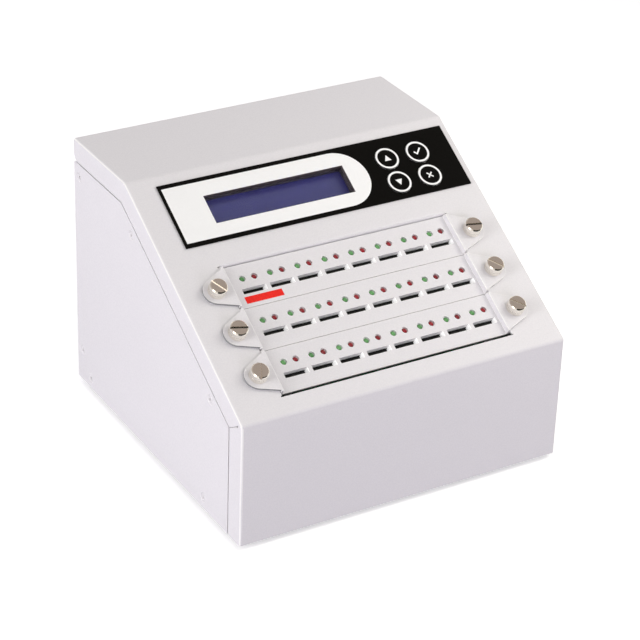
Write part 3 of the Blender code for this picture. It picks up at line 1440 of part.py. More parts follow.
def build():
    clear_scene()
    slope = slope_frame()
    cover(slope)
    chassis()
    side_panel("left_side_panel", -1)
    side_panel("right_side_panel", 1)
    side_screws("left_side_screw", -1)
    side_screws("right_side_screw", 1)
    feet()
    card_modules(slope)
    main_board(slope)
    overlay(slope)
    keys(slope)
    key_board(slope)
    display(slope)
    power_supply()
    power_inlet()
    rocker()
    fan_frame()
    fan_rotor()
    bpy.context.view_layer.update()


build()
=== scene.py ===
"""Looks of a memory card duplicator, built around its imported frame.

Sizes are in metres. X runs across the case, Y from front to back, Z up. The
sloped face has a frame of its own: x across, y up the slope and z out of it,
with its origin on the front upper edge of the case.
"""

import math

import bmesh
import bpy
from mathutils import Matrix, Vector
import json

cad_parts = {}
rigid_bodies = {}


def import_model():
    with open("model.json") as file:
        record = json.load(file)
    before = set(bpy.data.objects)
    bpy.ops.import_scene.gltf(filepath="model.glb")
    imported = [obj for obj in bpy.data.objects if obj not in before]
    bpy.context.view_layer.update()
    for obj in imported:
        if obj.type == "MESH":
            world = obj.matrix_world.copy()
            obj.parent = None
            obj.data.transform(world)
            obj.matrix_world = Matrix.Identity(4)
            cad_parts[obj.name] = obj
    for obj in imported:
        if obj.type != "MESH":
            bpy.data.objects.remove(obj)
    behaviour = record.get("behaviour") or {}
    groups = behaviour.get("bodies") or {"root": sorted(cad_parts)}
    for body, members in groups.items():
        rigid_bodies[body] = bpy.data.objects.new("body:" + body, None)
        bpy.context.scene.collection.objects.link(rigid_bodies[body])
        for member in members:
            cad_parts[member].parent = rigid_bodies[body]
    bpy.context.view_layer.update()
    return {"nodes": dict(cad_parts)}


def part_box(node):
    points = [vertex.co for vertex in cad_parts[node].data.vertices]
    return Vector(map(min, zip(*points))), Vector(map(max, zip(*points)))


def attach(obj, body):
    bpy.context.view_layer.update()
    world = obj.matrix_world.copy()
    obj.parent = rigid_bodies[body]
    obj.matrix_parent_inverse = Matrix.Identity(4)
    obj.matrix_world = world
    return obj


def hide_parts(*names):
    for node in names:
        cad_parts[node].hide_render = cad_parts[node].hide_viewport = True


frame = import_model()

# Sheet metal and the gaps between pieces
SHEET = 0.0012
FIT = 0.0003
OVERRUN = 0.001
SHEET_EASE = 0.00022
MOULDED_EASE = 0.0003
FINE_EASE = 0.00015
SEAM = 0.0004
UPRIGHT = 0.3
WELD = 0.00001
FLAT_ANGLE = math.radians(1)
EDGE_ANGLE = math.radians(35)
SMOOTH_ANGLE = math.radians(50)

# The sloped face
SLOPE_START = Vector((0, -0.09965, 0.0752))
SLOPE_RISE = 0.0774
SLOPE_DEPTH = 0.1325
SLOPE_ANGLE = math.atan2(SLOPE_RISE, SLOPE_DEPTH)
SLOPE = Matrix.Translation(SLOPE_START) @ Matrix.Rotation(SLOPE_ANGLE, 4, "X")

# Card modules
MODULE_COUNT = 3
MODULE_TOP = 0.09135
MODULE_PITCH = 0.02625
MODULE_HALF_WIDTH = 0.0698
EAR_LOW = 0.0006
EAR_TOP = EAR_LOW + SHEET
FLOOR_TOP = -0.0021
FLOOR_LOW = FLOOR_TOP - SHEET
EAR_ROOT_DROP = 0.0012
EAR_ROOT_RISE = 0.0003
EAR_NOSE_RADIUS = 0.0074
EAR_STEPS = 20
BEND_RADIUS = 0.0009
INNER_BEND = 0.0005
EAR_ROOT_TRIM = 0.0008
THUMBSCREW_X = 0.0784
THUMBSCREW_DROP = 0.553 * MODULE_PITCH
SHANK_HOLE_RADIUS = 0.0019
STUD_RADIUS = 0.0015
STUD_X = 0.0615
STUD_EDGE = 0.0029
MODULE_BOARD_TOP = -0.014
MODULE_BOARD_LOW = -0.0156

# Card slots and lamps
SLOT_COUNT = 8
SLOT_START_X = -0.0627
SLOT_PITCH = 0.0165
SLOT_LENGTH = 0.0142
SLOT_HEIGHT = 0.00325
SLOT_DROP = 0.622 * MODULE_PITCH
GUIDE_TOP = -0.0036
GUIDE_LOW = -0.006
GUIDE_WIDTH = 0.0056
GUIDE_SPLIT = -0.0052
PAD_RUN = 0.0006
PAD_LOW = -0.0061
SOCKET_TOP = -0.0063
SOCKET_WIDTH = 0.0044
SOCKET_LENGTH = 0.0146
BOARD_LEFT = -0.0649
BOARD_RIGHT = 0.0681
BOARD_EDGE = 0.0014
CARD_WIDTH = 0.0114
CARD_THICKNESS = 0.0014
PLUG_DROP = 0.496 * MODULE_PITCH
PLUG_LENGTH = 0.04
PLUG_WIDTH = 0.006
PLUG_LOW = -0.024
LAMP_INSET = 0.00315
LAMP_SPACING = 0.0071
LAMP_DROP = 0.328 * MODULE_PITCH
LAMP_HOLE_RADIUS = 0.00185
LAMP_RADIUS = 0.0017
LAMP_TOP = -0.002
LAMP_SHOULDER = -0.0036
LAMP_BAR_TOP = -0.0082
LAMP_BAR_WIDTH = 0.004

# Thumbscrews
KNOB_RADIUS = 0.00495
KNOB_LOW = 0.0042
KNOB_TOP = 0.0075
KNOB_EDGE_WIDTH = 0.00075
KNOB_EDGE_HEIGHT = 0.00066
KNOB_ROUNDING = 0.0003
THREAD_LEAD = 0.0005
KNOB_SLOT_WIDTH = 0.0012
KNOB_SLOT_DEPTH = 0.0011
SHANK_RADIUS = 0.0015
SHANK_LOW = -0.0052
COLLAR_RADIUS = 0.00499
COLLAR_LOW = 0.0019
COLLAR_TOP = 0.00412
KNOB_TURNS = {"left": (-55, -14, 68), "right": (-10, -45, -41)}

# Overlay, window and keys
OVERLAY_TOP = 0.0009
INK_DEPTH = 0.00004
FIELD_LEFT = -0.08105
FIELD_RIGHT = 0.0375
FIELD_LOW = 0.10845
FIELD_HIGH = 0.14395
WINDOW_LEFT = -0.0602
WINDOW_RIGHT = 0.0249
WINDOW_LOW = 0.11675
WINDOW_HIGH = 0.13475
LINER = 0.00012
DISPLAY_TOP = -0.0048
CELL_PITCH_X = 0.0037
CELL_PITCH_Y = 0.0059
KEY_RADIUS = 0.007
KEY_TOP = 0.0015
KEY_MIDDLE_X = 0.0625
KEY_MIDDLE_Y = 0.12455
KEY_PITCH_X = 0.0197
KEY_PITCH_Y = 0.0161
KEY_RING_RADIUS = 0.00685
KEY_RING_WIDTH = 0.00115
LABEL_LEFT = -0.0635
LABEL_RIGHT = -0.0414
LABEL_LOW = 0.06755
LABEL_HIGH = 0.07165

# Boards and the rear
KEY_BOARD_TOP = -0.0065
MAIN_BOARD_TOP = -0.034
MAIN_BOARD_LOW = -0.0356
CHIP_COLUMNS = (-0.076, -0.056, 0.044, 0.064)
CHIP_PITCH = 0.0215
INLET_MOUTH_DROP = 0.012
PIN_FIELD_X = 0.0095
PIN_FIELD_Z = 0.0062
PIN_ROOT_DEPTH = 0.0152
ROCKER_AXIS = Vector((-0.05, 0.09415, 0.0555))
ROCKER_TILT = math.radians(10)
ROCKER_FACE = 0.003204
ROCKER_MARK_RISE = 0.0045

# Camera
CAMERA_PLACE = (-0.569606, -0.953601, 0.682098)
CAMERA_BEARING = math.radians(-31.066)
CAMERA_RISE = math.radians(29.173)
CAMERA_ROLL = math.radians(2.088)
CAMERA_LENS = 129.594
SENSOR_WIDTH = 36

# What gloss shows: a dark side of the room, and panels by direction, two angles and brightness
DARK_ROOM = ((0.32, -0.93, 0.14), 34, 42)
GLOSS_PANELS = (((-0.72, -0.48, 0.48), 10, 16, 2.6), ((0.878, 0.225, 0.407), 10, 20, 2.0))

# Node trees

SOCKET_KINDS = {float: "Float", int: "Int"}


def wire(tree, value, socket):
    """Links another node's output to a socket, or sets its plain value."""
    if isinstance(value, bpy.types.NodeSocket):
        tree.links.new(value, socket)
    else:
        socket.default_value = value


def step(tree, kind, inputs, **settings):
    """Adds a node with its settings and wires its inputs, by name or place."""
    made = tree.nodes.new(kind)
    for key, value in settings.items():
        setattr(made, key, value)
    for key, value in inputs.items():
        wire(tree, value, made.inputs[key])
    return made


def sum_up(tree, operation, first, second=0.0, third=0.0, clamp=False):
    inputs = {0: first, 1: second, 2: third}
    return step(tree, "ShaderNodeMath", inputs, operation=operation, use_clamp=clamp).outputs[0]


def times(tree, first, second):
    return sum_up(tree, "MULTIPLY", first, second)


def between(tree, first, share, second):
    """The first value's share of a whole, and the rest from the second."""
    return sum_up(tree, "MULTIPLY_ADD", first, share, times(tree, second, 1 - share))


def likeness(tree, first, second):
    """Dot product: one where two unit vectors agree."""
    made = step(tree, "ShaderNodeVectorMath", {0: first, 1: second}, operation="DOT_PRODUCT")
    return made.outputs["Value"]


def blend(tree, share, first, second, mode="MIX"):
    made = step(tree, "ShaderNodeMix", {0: share}, data_type="RGBA", blend_type=mode)
    wire(tree, opaque(first), made.inputs[6])
    wire(tree, opaque(second), made.inputs[7])
    return made.outputs[2]


def opaque(colour):
    if isinstance(colour, tuple) and len(colour) == 3:
        return (*colour, 1.0)
    return colour


def spread(tree, value, low, high, new_low=0.0, new_high=1.0):
    """Maps a value from one range to another, and keeps it inside."""
    inputs = {0: value, 1: low, 2: high, 3: new_low, 4: new_high}
    return step(tree, "ShaderNodeMapRange", inputs, clamp=True).outputs[0]


def object_place(tree, turn=0.0):
    """Place on the piece, turned about X where a pattern follows the slope."""
    place = step(tree, "ShaderNodeTexCoord", {}).outputs["Object"]
    if turn == 0:
        return place
    return step(tree, "ShaderNodeMapping", {"Vector": place, "Rotation": (turn, 0, 0)}).outputs[0]


def noise(tree, place, scale, detail, roughness=0.5, distortion=0.0):
    inputs = {
        "Vector": place, "Scale": scale, "Detail": detail, "Roughness": roughness, "Distortion": distortion,
    }
    return step(tree, "ShaderNodeTexNoise", inputs).outputs[0]


def start_group(name, kind, inputs, outputs):
    """New node group. A socket is given by its name, and by its kind or first value."""
    tree = bpy.data.node_groups.new(name, kind)
    for way, sockets in (("INPUT", inputs), ("OUTPUT", outputs)):
        for label, value in sockets.items():
            socket_kind = SOCKET_KINDS.get(type(value), value)
            made = tree.interface.new_socket(label, in_out=way, socket_type="NodeSocket" + socket_kind)
            if socket_kind != value:
                made.default_value = value
    source = tree.nodes.new("NodeGroupInput")
    result = tree.nodes.new("NodeGroupOutput")
    return tree, source.outputs, result.inputs


def start_effect(name, inputs, *outputs):
    """Shader group whose outputs are plain values, and its scale from its first input."""
    tree, source, result = start_group(name, "ShaderNodeTree", inputs, dict.fromkeys(outputs, "Float"))
    return tree, source, result, sum_up(tree, "DIVIDE", 1.0, source[next(iter(inputs))])


def use_group(tree, group, **values):
    """Places a shared group. Underscores in the names stand for spaces."""
    made = step(tree, "ShaderNodeGroup", {}, node_tree=group)
    for key, value in values.items():
        wire(tree, value, made.inputs[key.replace("_", " ")])
    return made.outputs


# Shared effects

def fine_grain_group():
    """Small even grain, as sprayed powder or moulded plastic has."""
    tree, _, result, scale = start_effect("fine grain", {"Size": 0.0005}, "Tone", "Height")
    place = object_place(tree)
    cells = noise(tree, place, scale, 2.0, 0.6)
    coarse = noise(tree, place, times(tree, scale, 0.28), 1.0)
    mixed = between(tree, coarse, 0.6, cells)
    wire(tree, spread(tree, mixed, 0.38, 0.62), result["Tone"])
    wire(tree, mixed, result["Height"])
    return tree


def soft_drift_group():
    """Broad cloudy changes of tone, and the faint marks that handling leaves."""
    tree, _, result, scale = start_effect("soft drift", {"Size": 0.05}, "Tone", "Marks")
    place = object_place(tree)
    clouds = noise(tree, place, scale, 3.0, 0.5, 0.6)
    streaks = noise(tree, place, times(tree, scale, 5.0), 5.0, 0.7, 1.5)
    wire(tree, spread(tree, clouds, 0.3, 0.7), result["Tone"])
    wire(tree, spread(tree, streaks, 0.56, 0.7), result["Marks"])
    return tree


def edge_highlight_group():
    """Marks the edges of a piece, broken up in patches; the finishes use it to paint a highlight on edges.
    """
    inputs = {"Width": 0.0004, "Breakup": 0.5}
    tree, source, result = start_group("edge wear", "ShaderNodeTree", inputs, {"Mask": "Float"})
    rounded_normal = step(tree, "ShaderNodeBevel", {"Radius": source["Width"]}, samples=4).outputs[0]
    normal = step(tree, "ShaderNodeNewGeometry", {}).outputs["Normal"]
    edge = spread(tree, likeness(tree, rounded_normal, normal), 0.995, 0.9)
    patches = noise(tree, object_place(tree), 420.0, 4.0)
    held_back = times(tree, spread(tree, patches, 0.35, 0.6), source["Breakup"])
    wire(tree, sum_up(tree, "SUBTRACT", edge, held_back, clamp=True), result["Mask"])
    return tree


def long_grain_group():
    """Fine parallel lines along X, as brushed metal has."""
    tree, _, result, scale = start_effect("long grain", {"Size": 0.0003}, "Tone", "Height")
    drawn_out = {"Vector": object_place(tree), "Scale": (0.03, 1.0, 1.0)}
    lines = noise(tree, step(tree, "ShaderNodeMapping", drawn_out).outputs[0], scale, 4.0, 0.65)
    wire(tree, spread(tree, lines, 0.35, 0.65), result["Tone"])
    wire(tree, lines, result["Height"])
    return tree


def board_traces_group():
    """Runs of parallel copper traces under the mask of a circuit board."""
    inputs = {"Pitch": 0.0011, "Place": "Vector"}
    tree, source, result, scale = start_effect("board traces", inputs, "Mask", "Pads")
    cells = {"Vector": source["Place"], "Scale": times(tree, scale, 0.12)}
    fields = step(tree, "ShaderNodeTexVoronoi", cells, distance="CHEBYCHEV", feature="F1")
    choice = step(tree, "ShaderNodeSeparateColor", {0: fields.outputs["Color"]})
    axes = step(tree, "ShaderNodeSeparateXYZ", {0: source["Place"]})
    stripes = []
    for axis in (0, 1):
        wave = sum_up(tree, "PINGPONG", times(tree, axes.outputs[axis], scale), 0.5)
        stripes.append(spread(tree, wave, 0.2, 0.26))
    along_x = sum_up(tree, "GREATER_THAN", choice.outputs[0], 0.5)
    turned = sum_up(tree, "SUBTRACT", 1.0, along_x)
    runs = sum_up(tree, "ADD", times(tree, stripes[0], along_x), times(tree, stripes[1], turned))
    shown = sum_up(tree, "GREATER_THAN", choice.outputs[1], 0.42)
    wire(tree, times(tree, runs, shown), result["Mask"])
    places = {"Vector": source["Place"], "Scale": times(tree, scale, 0.3), "Randomness": 0.55}
    dots = step(tree, "ShaderNodeTexVoronoi", places, feature="F1")
    wire(tree, spread(tree, dots.outputs["Distance"], 0.12, 0.08), result["Pads"])
    return tree


GRAIN = fine_grain_group()
DRIFT = soft_drift_group()
EDGE_HIGHLIGHT = edge_highlight_group()
BRUSHED = long_grain_group()
TRACES = board_traces_group()


# Finishes

def shader_inputs(material):
    return material.node_tree.nodes["Principled BSDF"].inputs


def new_finish(name, grain_size, drift_size, **values):
    """New material, with the plain values of its shader.

    Returns it with its tree and its own grain and drift.
    """
    made = bpy.data.materials.new(name)
    made.use_nodes = True
    tree = made.node_tree
    inputs = shader_inputs(made)
    for key, value in values.items():
        inputs[key.replace("_", " ")].default_value = value
    grain = use_group(tree, GRAIN, Size=grain_size) if grain_size else None
    drift = use_group(tree, DRIFT, Size=drift_size) if drift_size else None
    return made, tree, grain, drift


def complete(made, colour, share, roughness, height, depth, strength=0.5):
    """Sets colour, roughness between two values by a share, and a bump of up to the depth."""
    tree = made.node_tree
    inputs = shader_inputs(made)
    bump = step(tree, "ShaderNodeBump", {"Height": height, "Distance": depth, "Strength": strength})
    if colour is not None:
        wire(tree, colour, inputs["Base Color"])
    wire(tree, spread(tree, share, 0.0, 1.0, *roughness), inputs["Roughness"])
    wire(tree, bump.outputs[0], inputs["Normal"])
    return made


def powder_coat(name, pale, shade):
    """Pale lilac grey powder coat on steel sheet."""
    made, tree, grain, drift = new_finish(name, 0.00022, 0.09, IOR=1.46)
    highlight = use_group(tree, EDGE_HIGHLIGHT, Width=0.0007, Breakup=0.25)
    colour = blend(tree, grain["Tone"], shade, pale)
    toned = blend(tree, times(tree, drift["Tone"], 0.1), colour, shade)
    # Painted highlight: the edges are paled toward near white.
    highlighted = blend(tree, times(tree, highlight["Mask"], 0.85), toned, (0.94, 0.93, 0.91))
    uneven = sum_up(tree, "ADD", drift["Marks"], grain["Tone"])
    return complete(made, highlighted, uneven, (0.42, 0.32), grain["Height"], 0.00002)


def two_tone(
    name, dull, bright, tone, uneven, roughness, depth=0.00001, strength=0.4,
    grain_size=0.0004, drift_size=0.02, lines_size=None, cloud_share=0.6, **values,
):
    """Material between two colours, by one tone, whose roughness follows another.

    The tones are grain, lines, clouds, marks, both (clouds and grain) and most
    (marks or grain, whichever is more).
    """
    made, tree, grain, drift = new_finish(name, grain_size, drift_size, **values)
    tones = {"grain": grain["Tone"], "clouds": drift["Tone"], "marks": drift["Marks"]}
    height = grain["Height"]
    if lines_size:
        lines = use_group(tree, BRUSHED, Size=lines_size)
        tones["lines"], height = lines
    if tone == "both":
        tones["both"] = between(tree, drift["Tone"], cloud_share, grain["Tone"])
    if uneven == "most":
        tones["most"] = sum_up(tree, "MAXIMUM", drift["Marks"], grain["Tone"])
    colour = blend(tree, tones[tone], dull, bright)
    return complete(made, colour, tones[uneven], roughness, height, depth, strength)


def light_diffuser():
    """Milky plastic with a painted glow: an emission keeps it bright in a recess."""
    made, tree, grain, drift = new_finish("light_diffuser", 0.0004, 0.004, IOR=1.45, Emission_Strength=0.32)
    milk = blend(tree, grain["Tone"], (0.9, 0.9, 0.89), (0.96, 0.96, 0.95))
    wire(tree, milk, shader_inputs(made)["Emission Color"])
    return complete(made, milk, drift["Marks"], (0.4, 0.5), grain["Height"], 0.00002)


def foot_rubber():
    made, tree, grain, drift = new_finish("foot_rubber", 0.0004, 0.008, IOR=1.5)
    base = blend(tree, grain["Tone"], (0.012, 0.012, 0.012), (0.03, 0.03, 0.03))
    dusty = blend(tree, times(tree, drift["Marks"], 0.25), base, (0.16, 0.15, 0.14))
    return complete(made, dusty, drift["Tone"], (0.75, 0.92), grain["Height"], 0.00008, 0.7)


def turned_nickel():
    """Bright nickel plate over faint turned rings, which follow the piece's radius."""
    made, tree, _, drift = new_finish("turned_nickel", None, 0.004, Metallic=1.0)
    radius = step(tree, "ShaderNodeAttribute", {}, attribute_name="turned_radius").outputs["Fac"]
    inputs = {"W": radius, "Scale": 9000.0, "Detail": 2.0}
    rings = step(tree, "ShaderNodeTexNoise", inputs, noise_dimensions="1D").outputs[0]
    tone = spread(tree, rings, 0.35, 0.65)
    colour = blend(tree, tone, (0.89, 0.85, 0.78), (0.96, 0.925, 0.86))
    uneven = between(tree, drift["Marks"], 0.6, tone)
    return complete(made, colour, uneven, (0.1, 0.17), rings, 0.000004, 0.4)


def moulded(name, colour, lighter, roughness=0.45, size=0.0006):
    """Moulded plastic with a fine spark-eroded grain, and edges made paler as a painted highlight."""
    made, tree, grain, drift = new_finish(name, size, 0.02)
    highlight = use_group(tree, EDGE_HIGHLIGHT, Width=0.0003, Breakup=0.5)
    base = blend(tree, grain["Tone"], colour, lighter)
    # Painted highlight: the edges are made paler.
    highlighted = blend(tree, times(tree, highlight["Mask"], 0.3), base, lighter, "ADD")
    smooth, rough = roughness - 0.06, roughness + 0.08
    return complete(made, highlighted, drift["Tone"], (smooth, rough), grain["Height"], 0.00006, 0.6)


def lamp_resin(name, colour, rim_shade):
    """Tinted lamp resin with a clear skin; its tint varies at random and darkens where it turns away from
    the view, as painted shade.
    """
    made, tree, grain, drift = new_finish(name, 0.0003, 0.011, Coat_Roughness=0.08, IOR=1.5)
    facing = step(tree, "ShaderNodeLayerWeight", {"Blend": 0.3}).outputs["Facing"]
    # Painted shade: half the darkening follows the facing angle, half a random tone.
    tint = blend(tree, between(tree, drift["Tone"], 0.5, facing), colour, rim_shade)
    skin = spread(tree, drift["Marks"], 0.0, 1.0, 1.0, 0.8)
    wire(tree, skin, shader_inputs(made)["Coat Weight"])
    return complete(made, tint, drift["Marks"], (0.2, 0.3), grain["Height"], 0.00001, 0.4)


def clear_window():
    """Clear display window with faint haze."""
    clear = {"Transmission_Weight": 1.0, "IOR": 1.2, "Base_Color": (0.9, 0.92, 0.98, 1)}
    made, _, _, drift = new_finish("clear_window", None, 0.02, **clear)
    return complete(made, None, drift["Marks"], (0.02, 0.06), drift["Tone"], 0.00001, 0.1)


def display_glass():
    """Dark blue display with its rows of character cells."""
    made, tree, _, drift = new_finish("display_glass", None, 0.012, IOR=1.5)
    axes = step(tree, "ShaderNodeSeparateXYZ", {0: object_place(tree, -SLOPE_ANGLE)})
    bars = []
    for axis, pitch in ((0, CELL_PITCH_X), (1, CELL_PITCH_Y)):
        across = times(tree, axes.outputs[axis], 1 / pitch)
        bars.append(spread(tree, sum_up(tree, "PINGPONG", across, 0.5), 0.06, 0.1))
    cells = times(tree, bars[0], bars[1])
    ground = blend(tree, drift["Tone"], (0.027, 0.024, 0.12), (0.033, 0.03, 0.14))
    colour = blend(tree, times(tree, cells, 0.35), ground, (0.04, 0.037, 0.165))
    return complete(made, colour, drift["Marks"], (0.2, 0.3), cells, 0.00001, 0.3)


def solder_mask():
    """Green mask over copper traces and bare pads."""
    made, tree, _, drift = new_finish("solder_mask", None, 0.015, IOR=1.5)
    traces = use_group(tree, TRACES, Place=object_place(tree, -SLOPE_ANGLE))
    mask = blend(tree, drift["Tone"], (0.008, 0.075, 0.03), (0.012, 0.1, 0.04))
    lit = blend(tree, traces["Mask"], mask, (0.03, 0.2, 0.085))
    colour = blend(tree, traces["Pads"], lit, (0.62, 0.46, 0.2))
    wire(tree, traces["Pads"], shader_inputs(made)["Metallic"])
    return complete(made, colour, drift["Marks"], (0.28, 0.42), traces["Mask"], 0.00004)


COAT = powder_coat("powder_coat", (0.805, 0.79, 0.805), (0.765, 0.75, 0.77))
# A paler coat that paints a highlight on folds and on the right ears' edges
HIGHLIGHT_COAT = powder_coat("thin_coat_on_folds", (0.96, 0.955, 0.93), (0.93, 0.925, 0.9))
# Dark grey that paints shade on the left ears' edges
SHADE_EDGE = two_tone(
    "sheared_edge", (0.2, 0.205, 0.21), (0.3, 0.305, 0.31), "lines", "grain", (0.4, 0.6), 0.00002, 0.5,
    grain_size=0.0003, lines_size=0.0002, IOR=1.5,
)
NICKEL = turned_nickel()
ALUMINIUM = two_tone(
    "aluminium", (0.58, 0.58, 0.6), (0.72, 0.72, 0.74), "lines", "clouds", (0.32, 0.47), 0.00002, 0.5,
    drift_size=0.03, lines_size=0.0003, Metallic=1.0,
)
TIN = two_tone(
    "bright_tin", (0.55, 0.54, 0.52), (0.7, 0.69, 0.67), "both", "most", (0.2, 0.325), strength=0.5,
    drift_size=0.006, Metallic=1.0,
)
GOLD = two_tone(
    "contact_gold", (0.7, 0.48, 0.18), (0.83, 0.6, 0.24), "both", "most", (0.176, 0.286), strength=0.5,
    drift_size=0.006, Metallic=1.0,
)
FILM = two_tone(
    "black_film", (0.0022, 0.0021, 0.0018), (0.0042, 0.004, 0.0034), "grain", "marks", (0.4, 0.5),
    grain_size=0.00025, drift_size=0.03, IOR=1.16,
)
WHITE_INK = two_tone(
    "white_ink", (0.93, 0.935, 0.93), (0.96, 0.965, 0.96), "both", "marks", (0.4, 0.52), cloud_share=0.5,
)
RED_INK = two_tone(
    "red_ink", (0.7, 0.012, 0.008), (1.0, 0.014, 0.005), "both", "marks", (0.4, 0.52), cloud_share=0.5,
)
RUBBER = foot_rubber()
GLOW_PLASTIC = light_diffuser()
BLACK_PLASTIC = moulded("black_plastic", (0.012, 0.012, 0.012), (0.024, 0.024, 0.024))
WHITE_PLASTIC = moulded("white_plastic", (0.86, 0.87, 0.87), (0.93, 0.93, 0.93), 0.45, 0.0004)
BEZEL_BLACK = moulded("bezel_black", (0.06, 0.048, 0.05), (0.08, 0.065, 0.068), 0.5, 0.0004)
CREAM_PLASTIC = moulded("cream_plastic", (0.66, 0.62, 0.5), (0.72, 0.68, 0.57), 0.5)
CHIP_BLACK = moulded("chip_epoxy", (0.014, 0.014, 0.016), (0.03, 0.03, 0.032), 0.6, 0.0002)
GREEN_LAMP = lamp_resin("green_lamp", (0.15, 0.42, 0.14), (0.03, 0.14, 0.035))
RED_LAMP = lamp_resin("red_lamp", (0.36, 0.014, 0.024), (0.06, 0.004, 0.008))
WINDOW_CLEAR = clear_window()
DISPLAY_BLUE = display_glass()
MASK_GREEN = solder_mask()


# Shapes

def on_circle(centre, radius, angle):
    return (centre[0] + radius * math.cos(angle), centre[1] + radius * math.sin(angle))


def rounded(corners, steps=4):
    """Closed outline whose corners, given as (x, y, radius), are rounded."""
    points = []
    for i, (x, y, radius) in enumerate(corners):
        if radius == 0:
            points.append((x, y))
            continue
        here = Vector((x, y))
        before = (Vector(corners[i - 1][:2]) - here).normalized()
        after = (Vector(corners[(i + 1) % len(corners)][:2]) - here).normalized()
        half = before.angle(after) / 2
        centre = here + (before + after).normalized() * (radius / math.sin(half))
        first = here + before * (radius / math.tan(half)) - centre
        last = here + after * (radius / math.tan(half)) - centre
        start = math.atan2(first.y, first.x)
        turn = (math.atan2(last.y, last.x) - start + math.pi) % (2 * math.pi) - math.pi
        for j in range(steps + 1):
            points.append(on_circle(centre, radius, start + turn * j / steps))
    return points


def rectangle(low_a, high_a, low_b, high_b):
    return [(low_a, low_b), (high_a, low_b), (high_a, high_b), (low_a, high_b)]


def soft_rectangle(low_a, high_a, low_b, high_b, radius, steps=4):
    return rounded([(a, b, radius) for a, b in rectangle(low_a, high_a, low_b, high_b)], steps)


def ring_points(centre, radius, steps):
    return [on_circle(centre, radius, 2 * math.pi * i / steps) for i in range(steps)]


def ring_section(outer, inner, low, high):
    """Closed section of a flat ring, for a turned mesh."""
    return [(outer, low), (outer, high), (inner, high), (inner, low), (outer, low)]


def point_on(axis, first, second, along):
    if axis == "X":
        return Vector((along, first, second))
    if axis == "Y":
        return Vector((first, along, second))
    return Vector((first, second, along))


def add_prism(shape, outline, start, end, axis="Z"):
    near = [shape.verts.new(point_on(axis, a, b, start)) for a, b in outline]
    far = [shape.verts.new(point_on(axis, a, b, end)) for a, b in outline]
    shape.faces.new(near)
    shape.faces.new(list(reversed(far)))
    for i in range(len(outline)):
        j = (i + 1) % len(outline)
        shape.faces.new((near[i], far[i], far[j], near[j]))


def add_turned(shape, profile, steps):
    """Round body about Z from (radius, height) points.

    A profile that ends on its first point makes a ring.
    """
    rings = []
    for radius, height in profile:
        if rings and (radius, height) == profile[0]:
            rings.append(rings[0])
            continue
        count = steps if radius > 0 else 1
        ring = []
        for i in range(count):
            angle = 2 * math.pi * (i + 0.5) / steps
            ring.append(shape.verts.new((radius * math.cos(angle), radius * math.sin(angle), height)))
        rings.append(ring)
    for upper, lower in zip(rings, rings[1:]):
        for i in range(steps):
            j = (i + 1) % steps
            corners = [upper[i % len(upper)], lower[i % len(lower)]]
            for corner in (lower[j % len(lower)], upper[j % len(upper)]):
                if corner not in corners:
                    corners.append(corner)
            shape.faces.new(corners)


def mesh_of(shape):
    bmesh.ops.recalc_face_normals(shape, faces=shape.faces)
    mesh = bpy.data.meshes.new("shape")
    shape.to_mesh(mesh)
    shape.free()
    return mesh


def prism_mesh(outline, start, end, axis="Z"):
    shape = bmesh.new()
    add_prism(shape, outline, start, end, axis)
    return mesh_of(shape)


def turned_mesh(profile, steps):
    shape = bmesh.new()
    add_turned(shape, profile, steps)
    return mesh_of(shape)


def put(name, mesh):
    item = bpy.data.objects.new(name, mesh)
    bpy.context.scene.collection.objects.link(item)
    return item


def combine(item, mesh, operation):
    """Joins a mesh to an item or cuts it out, by an exact Boolean."""
    guide = put(item.name + "_guide", mesh)
    change = item.modifiers.new(operation.lower(), "BOOLEAN")
    change.operation = operation
    change.solver = "EXACT"
    change.object = guide
    return guide


def plain_mesh(item, guides=()):
    """The item's mesh with its modifiers applied. The item itself is removed."""
    bpy.context.view_layer.update()
    graph = bpy.context.evaluated_depsgraph_get()
    made = bpy.data.meshes.new_from_object(item.evaluated_get(graph))
    for spent in (item, *guides):
        bpy.data.objects.remove(spent, do_unlink=True)
    return made


def carved(mesh, *cutters, joined=()):
    """The mesh with others joined to it and then cut from it."""
    item = put("blank", mesh)
    guides = [combine(item, other, "UNION") for other in joined]
    guides += [combine(item, other, "DIFFERENCE") for other in cutters]
    return plain_mesh(item, guides)


def eased(mesh, width, segments=2, angle=EDGE_ANGLE):
    """The mesh with its sharp edges softened."""
    shape = bmesh.new()
    shape.from_mesh(mesh)
    bmesh.ops.remove_doubles(shape, verts=shape.verts, dist=WELD)
    bmesh.ops.dissolve_limit(shape, angle_limit=FLAT_ANGLE, verts=shape.verts, edges=shape.edges)
    shape.to_mesh(mesh)
    shape.free()
    item = put("blank", mesh)
    soft = item.modifiers.new("edges", "BEVEL")
    soft.width = width
    soft.segments = segments
    soft.limit_method = "ANGLE"
    soft.angle_limit = angle
    return plain_mesh(item)


def node_mesh(node):
    """A welded copy of a CAD node's mesh."""
    mesh = frame["nodes"][node].data.copy()
    mesh.materials.clear()
    shape = bmesh.new()
    shape.from_mesh(mesh)
    bmesh.ops.remove_doubles(shape, verts=shape.verts, dist=WELD)
    shape.to_mesh(mesh)
    shape.free()
    return mesh


def softened(node, width, segments=2):
    """A CAD node's own mesh with softened edges."""
    return eased(node_mesh(node), width, segments)


def shift(x, y, z):
    return Matrix.Translation((x, y, z))


def moved(mesh, matrix):
    mesh.transform(matrix)
    return mesh


def painted(mesh, choose, *materials):
    """Gives each face of the mesh the material that the rule chooses by number."""
    for material in materials:
        mesh.materials.append(material)
    for face in mesh.polygons:
        face.material_index = int(choose(face))
    return mesh


def body_of(node):
    return frame["nodes"][node].parent.name.removeprefix("body:")


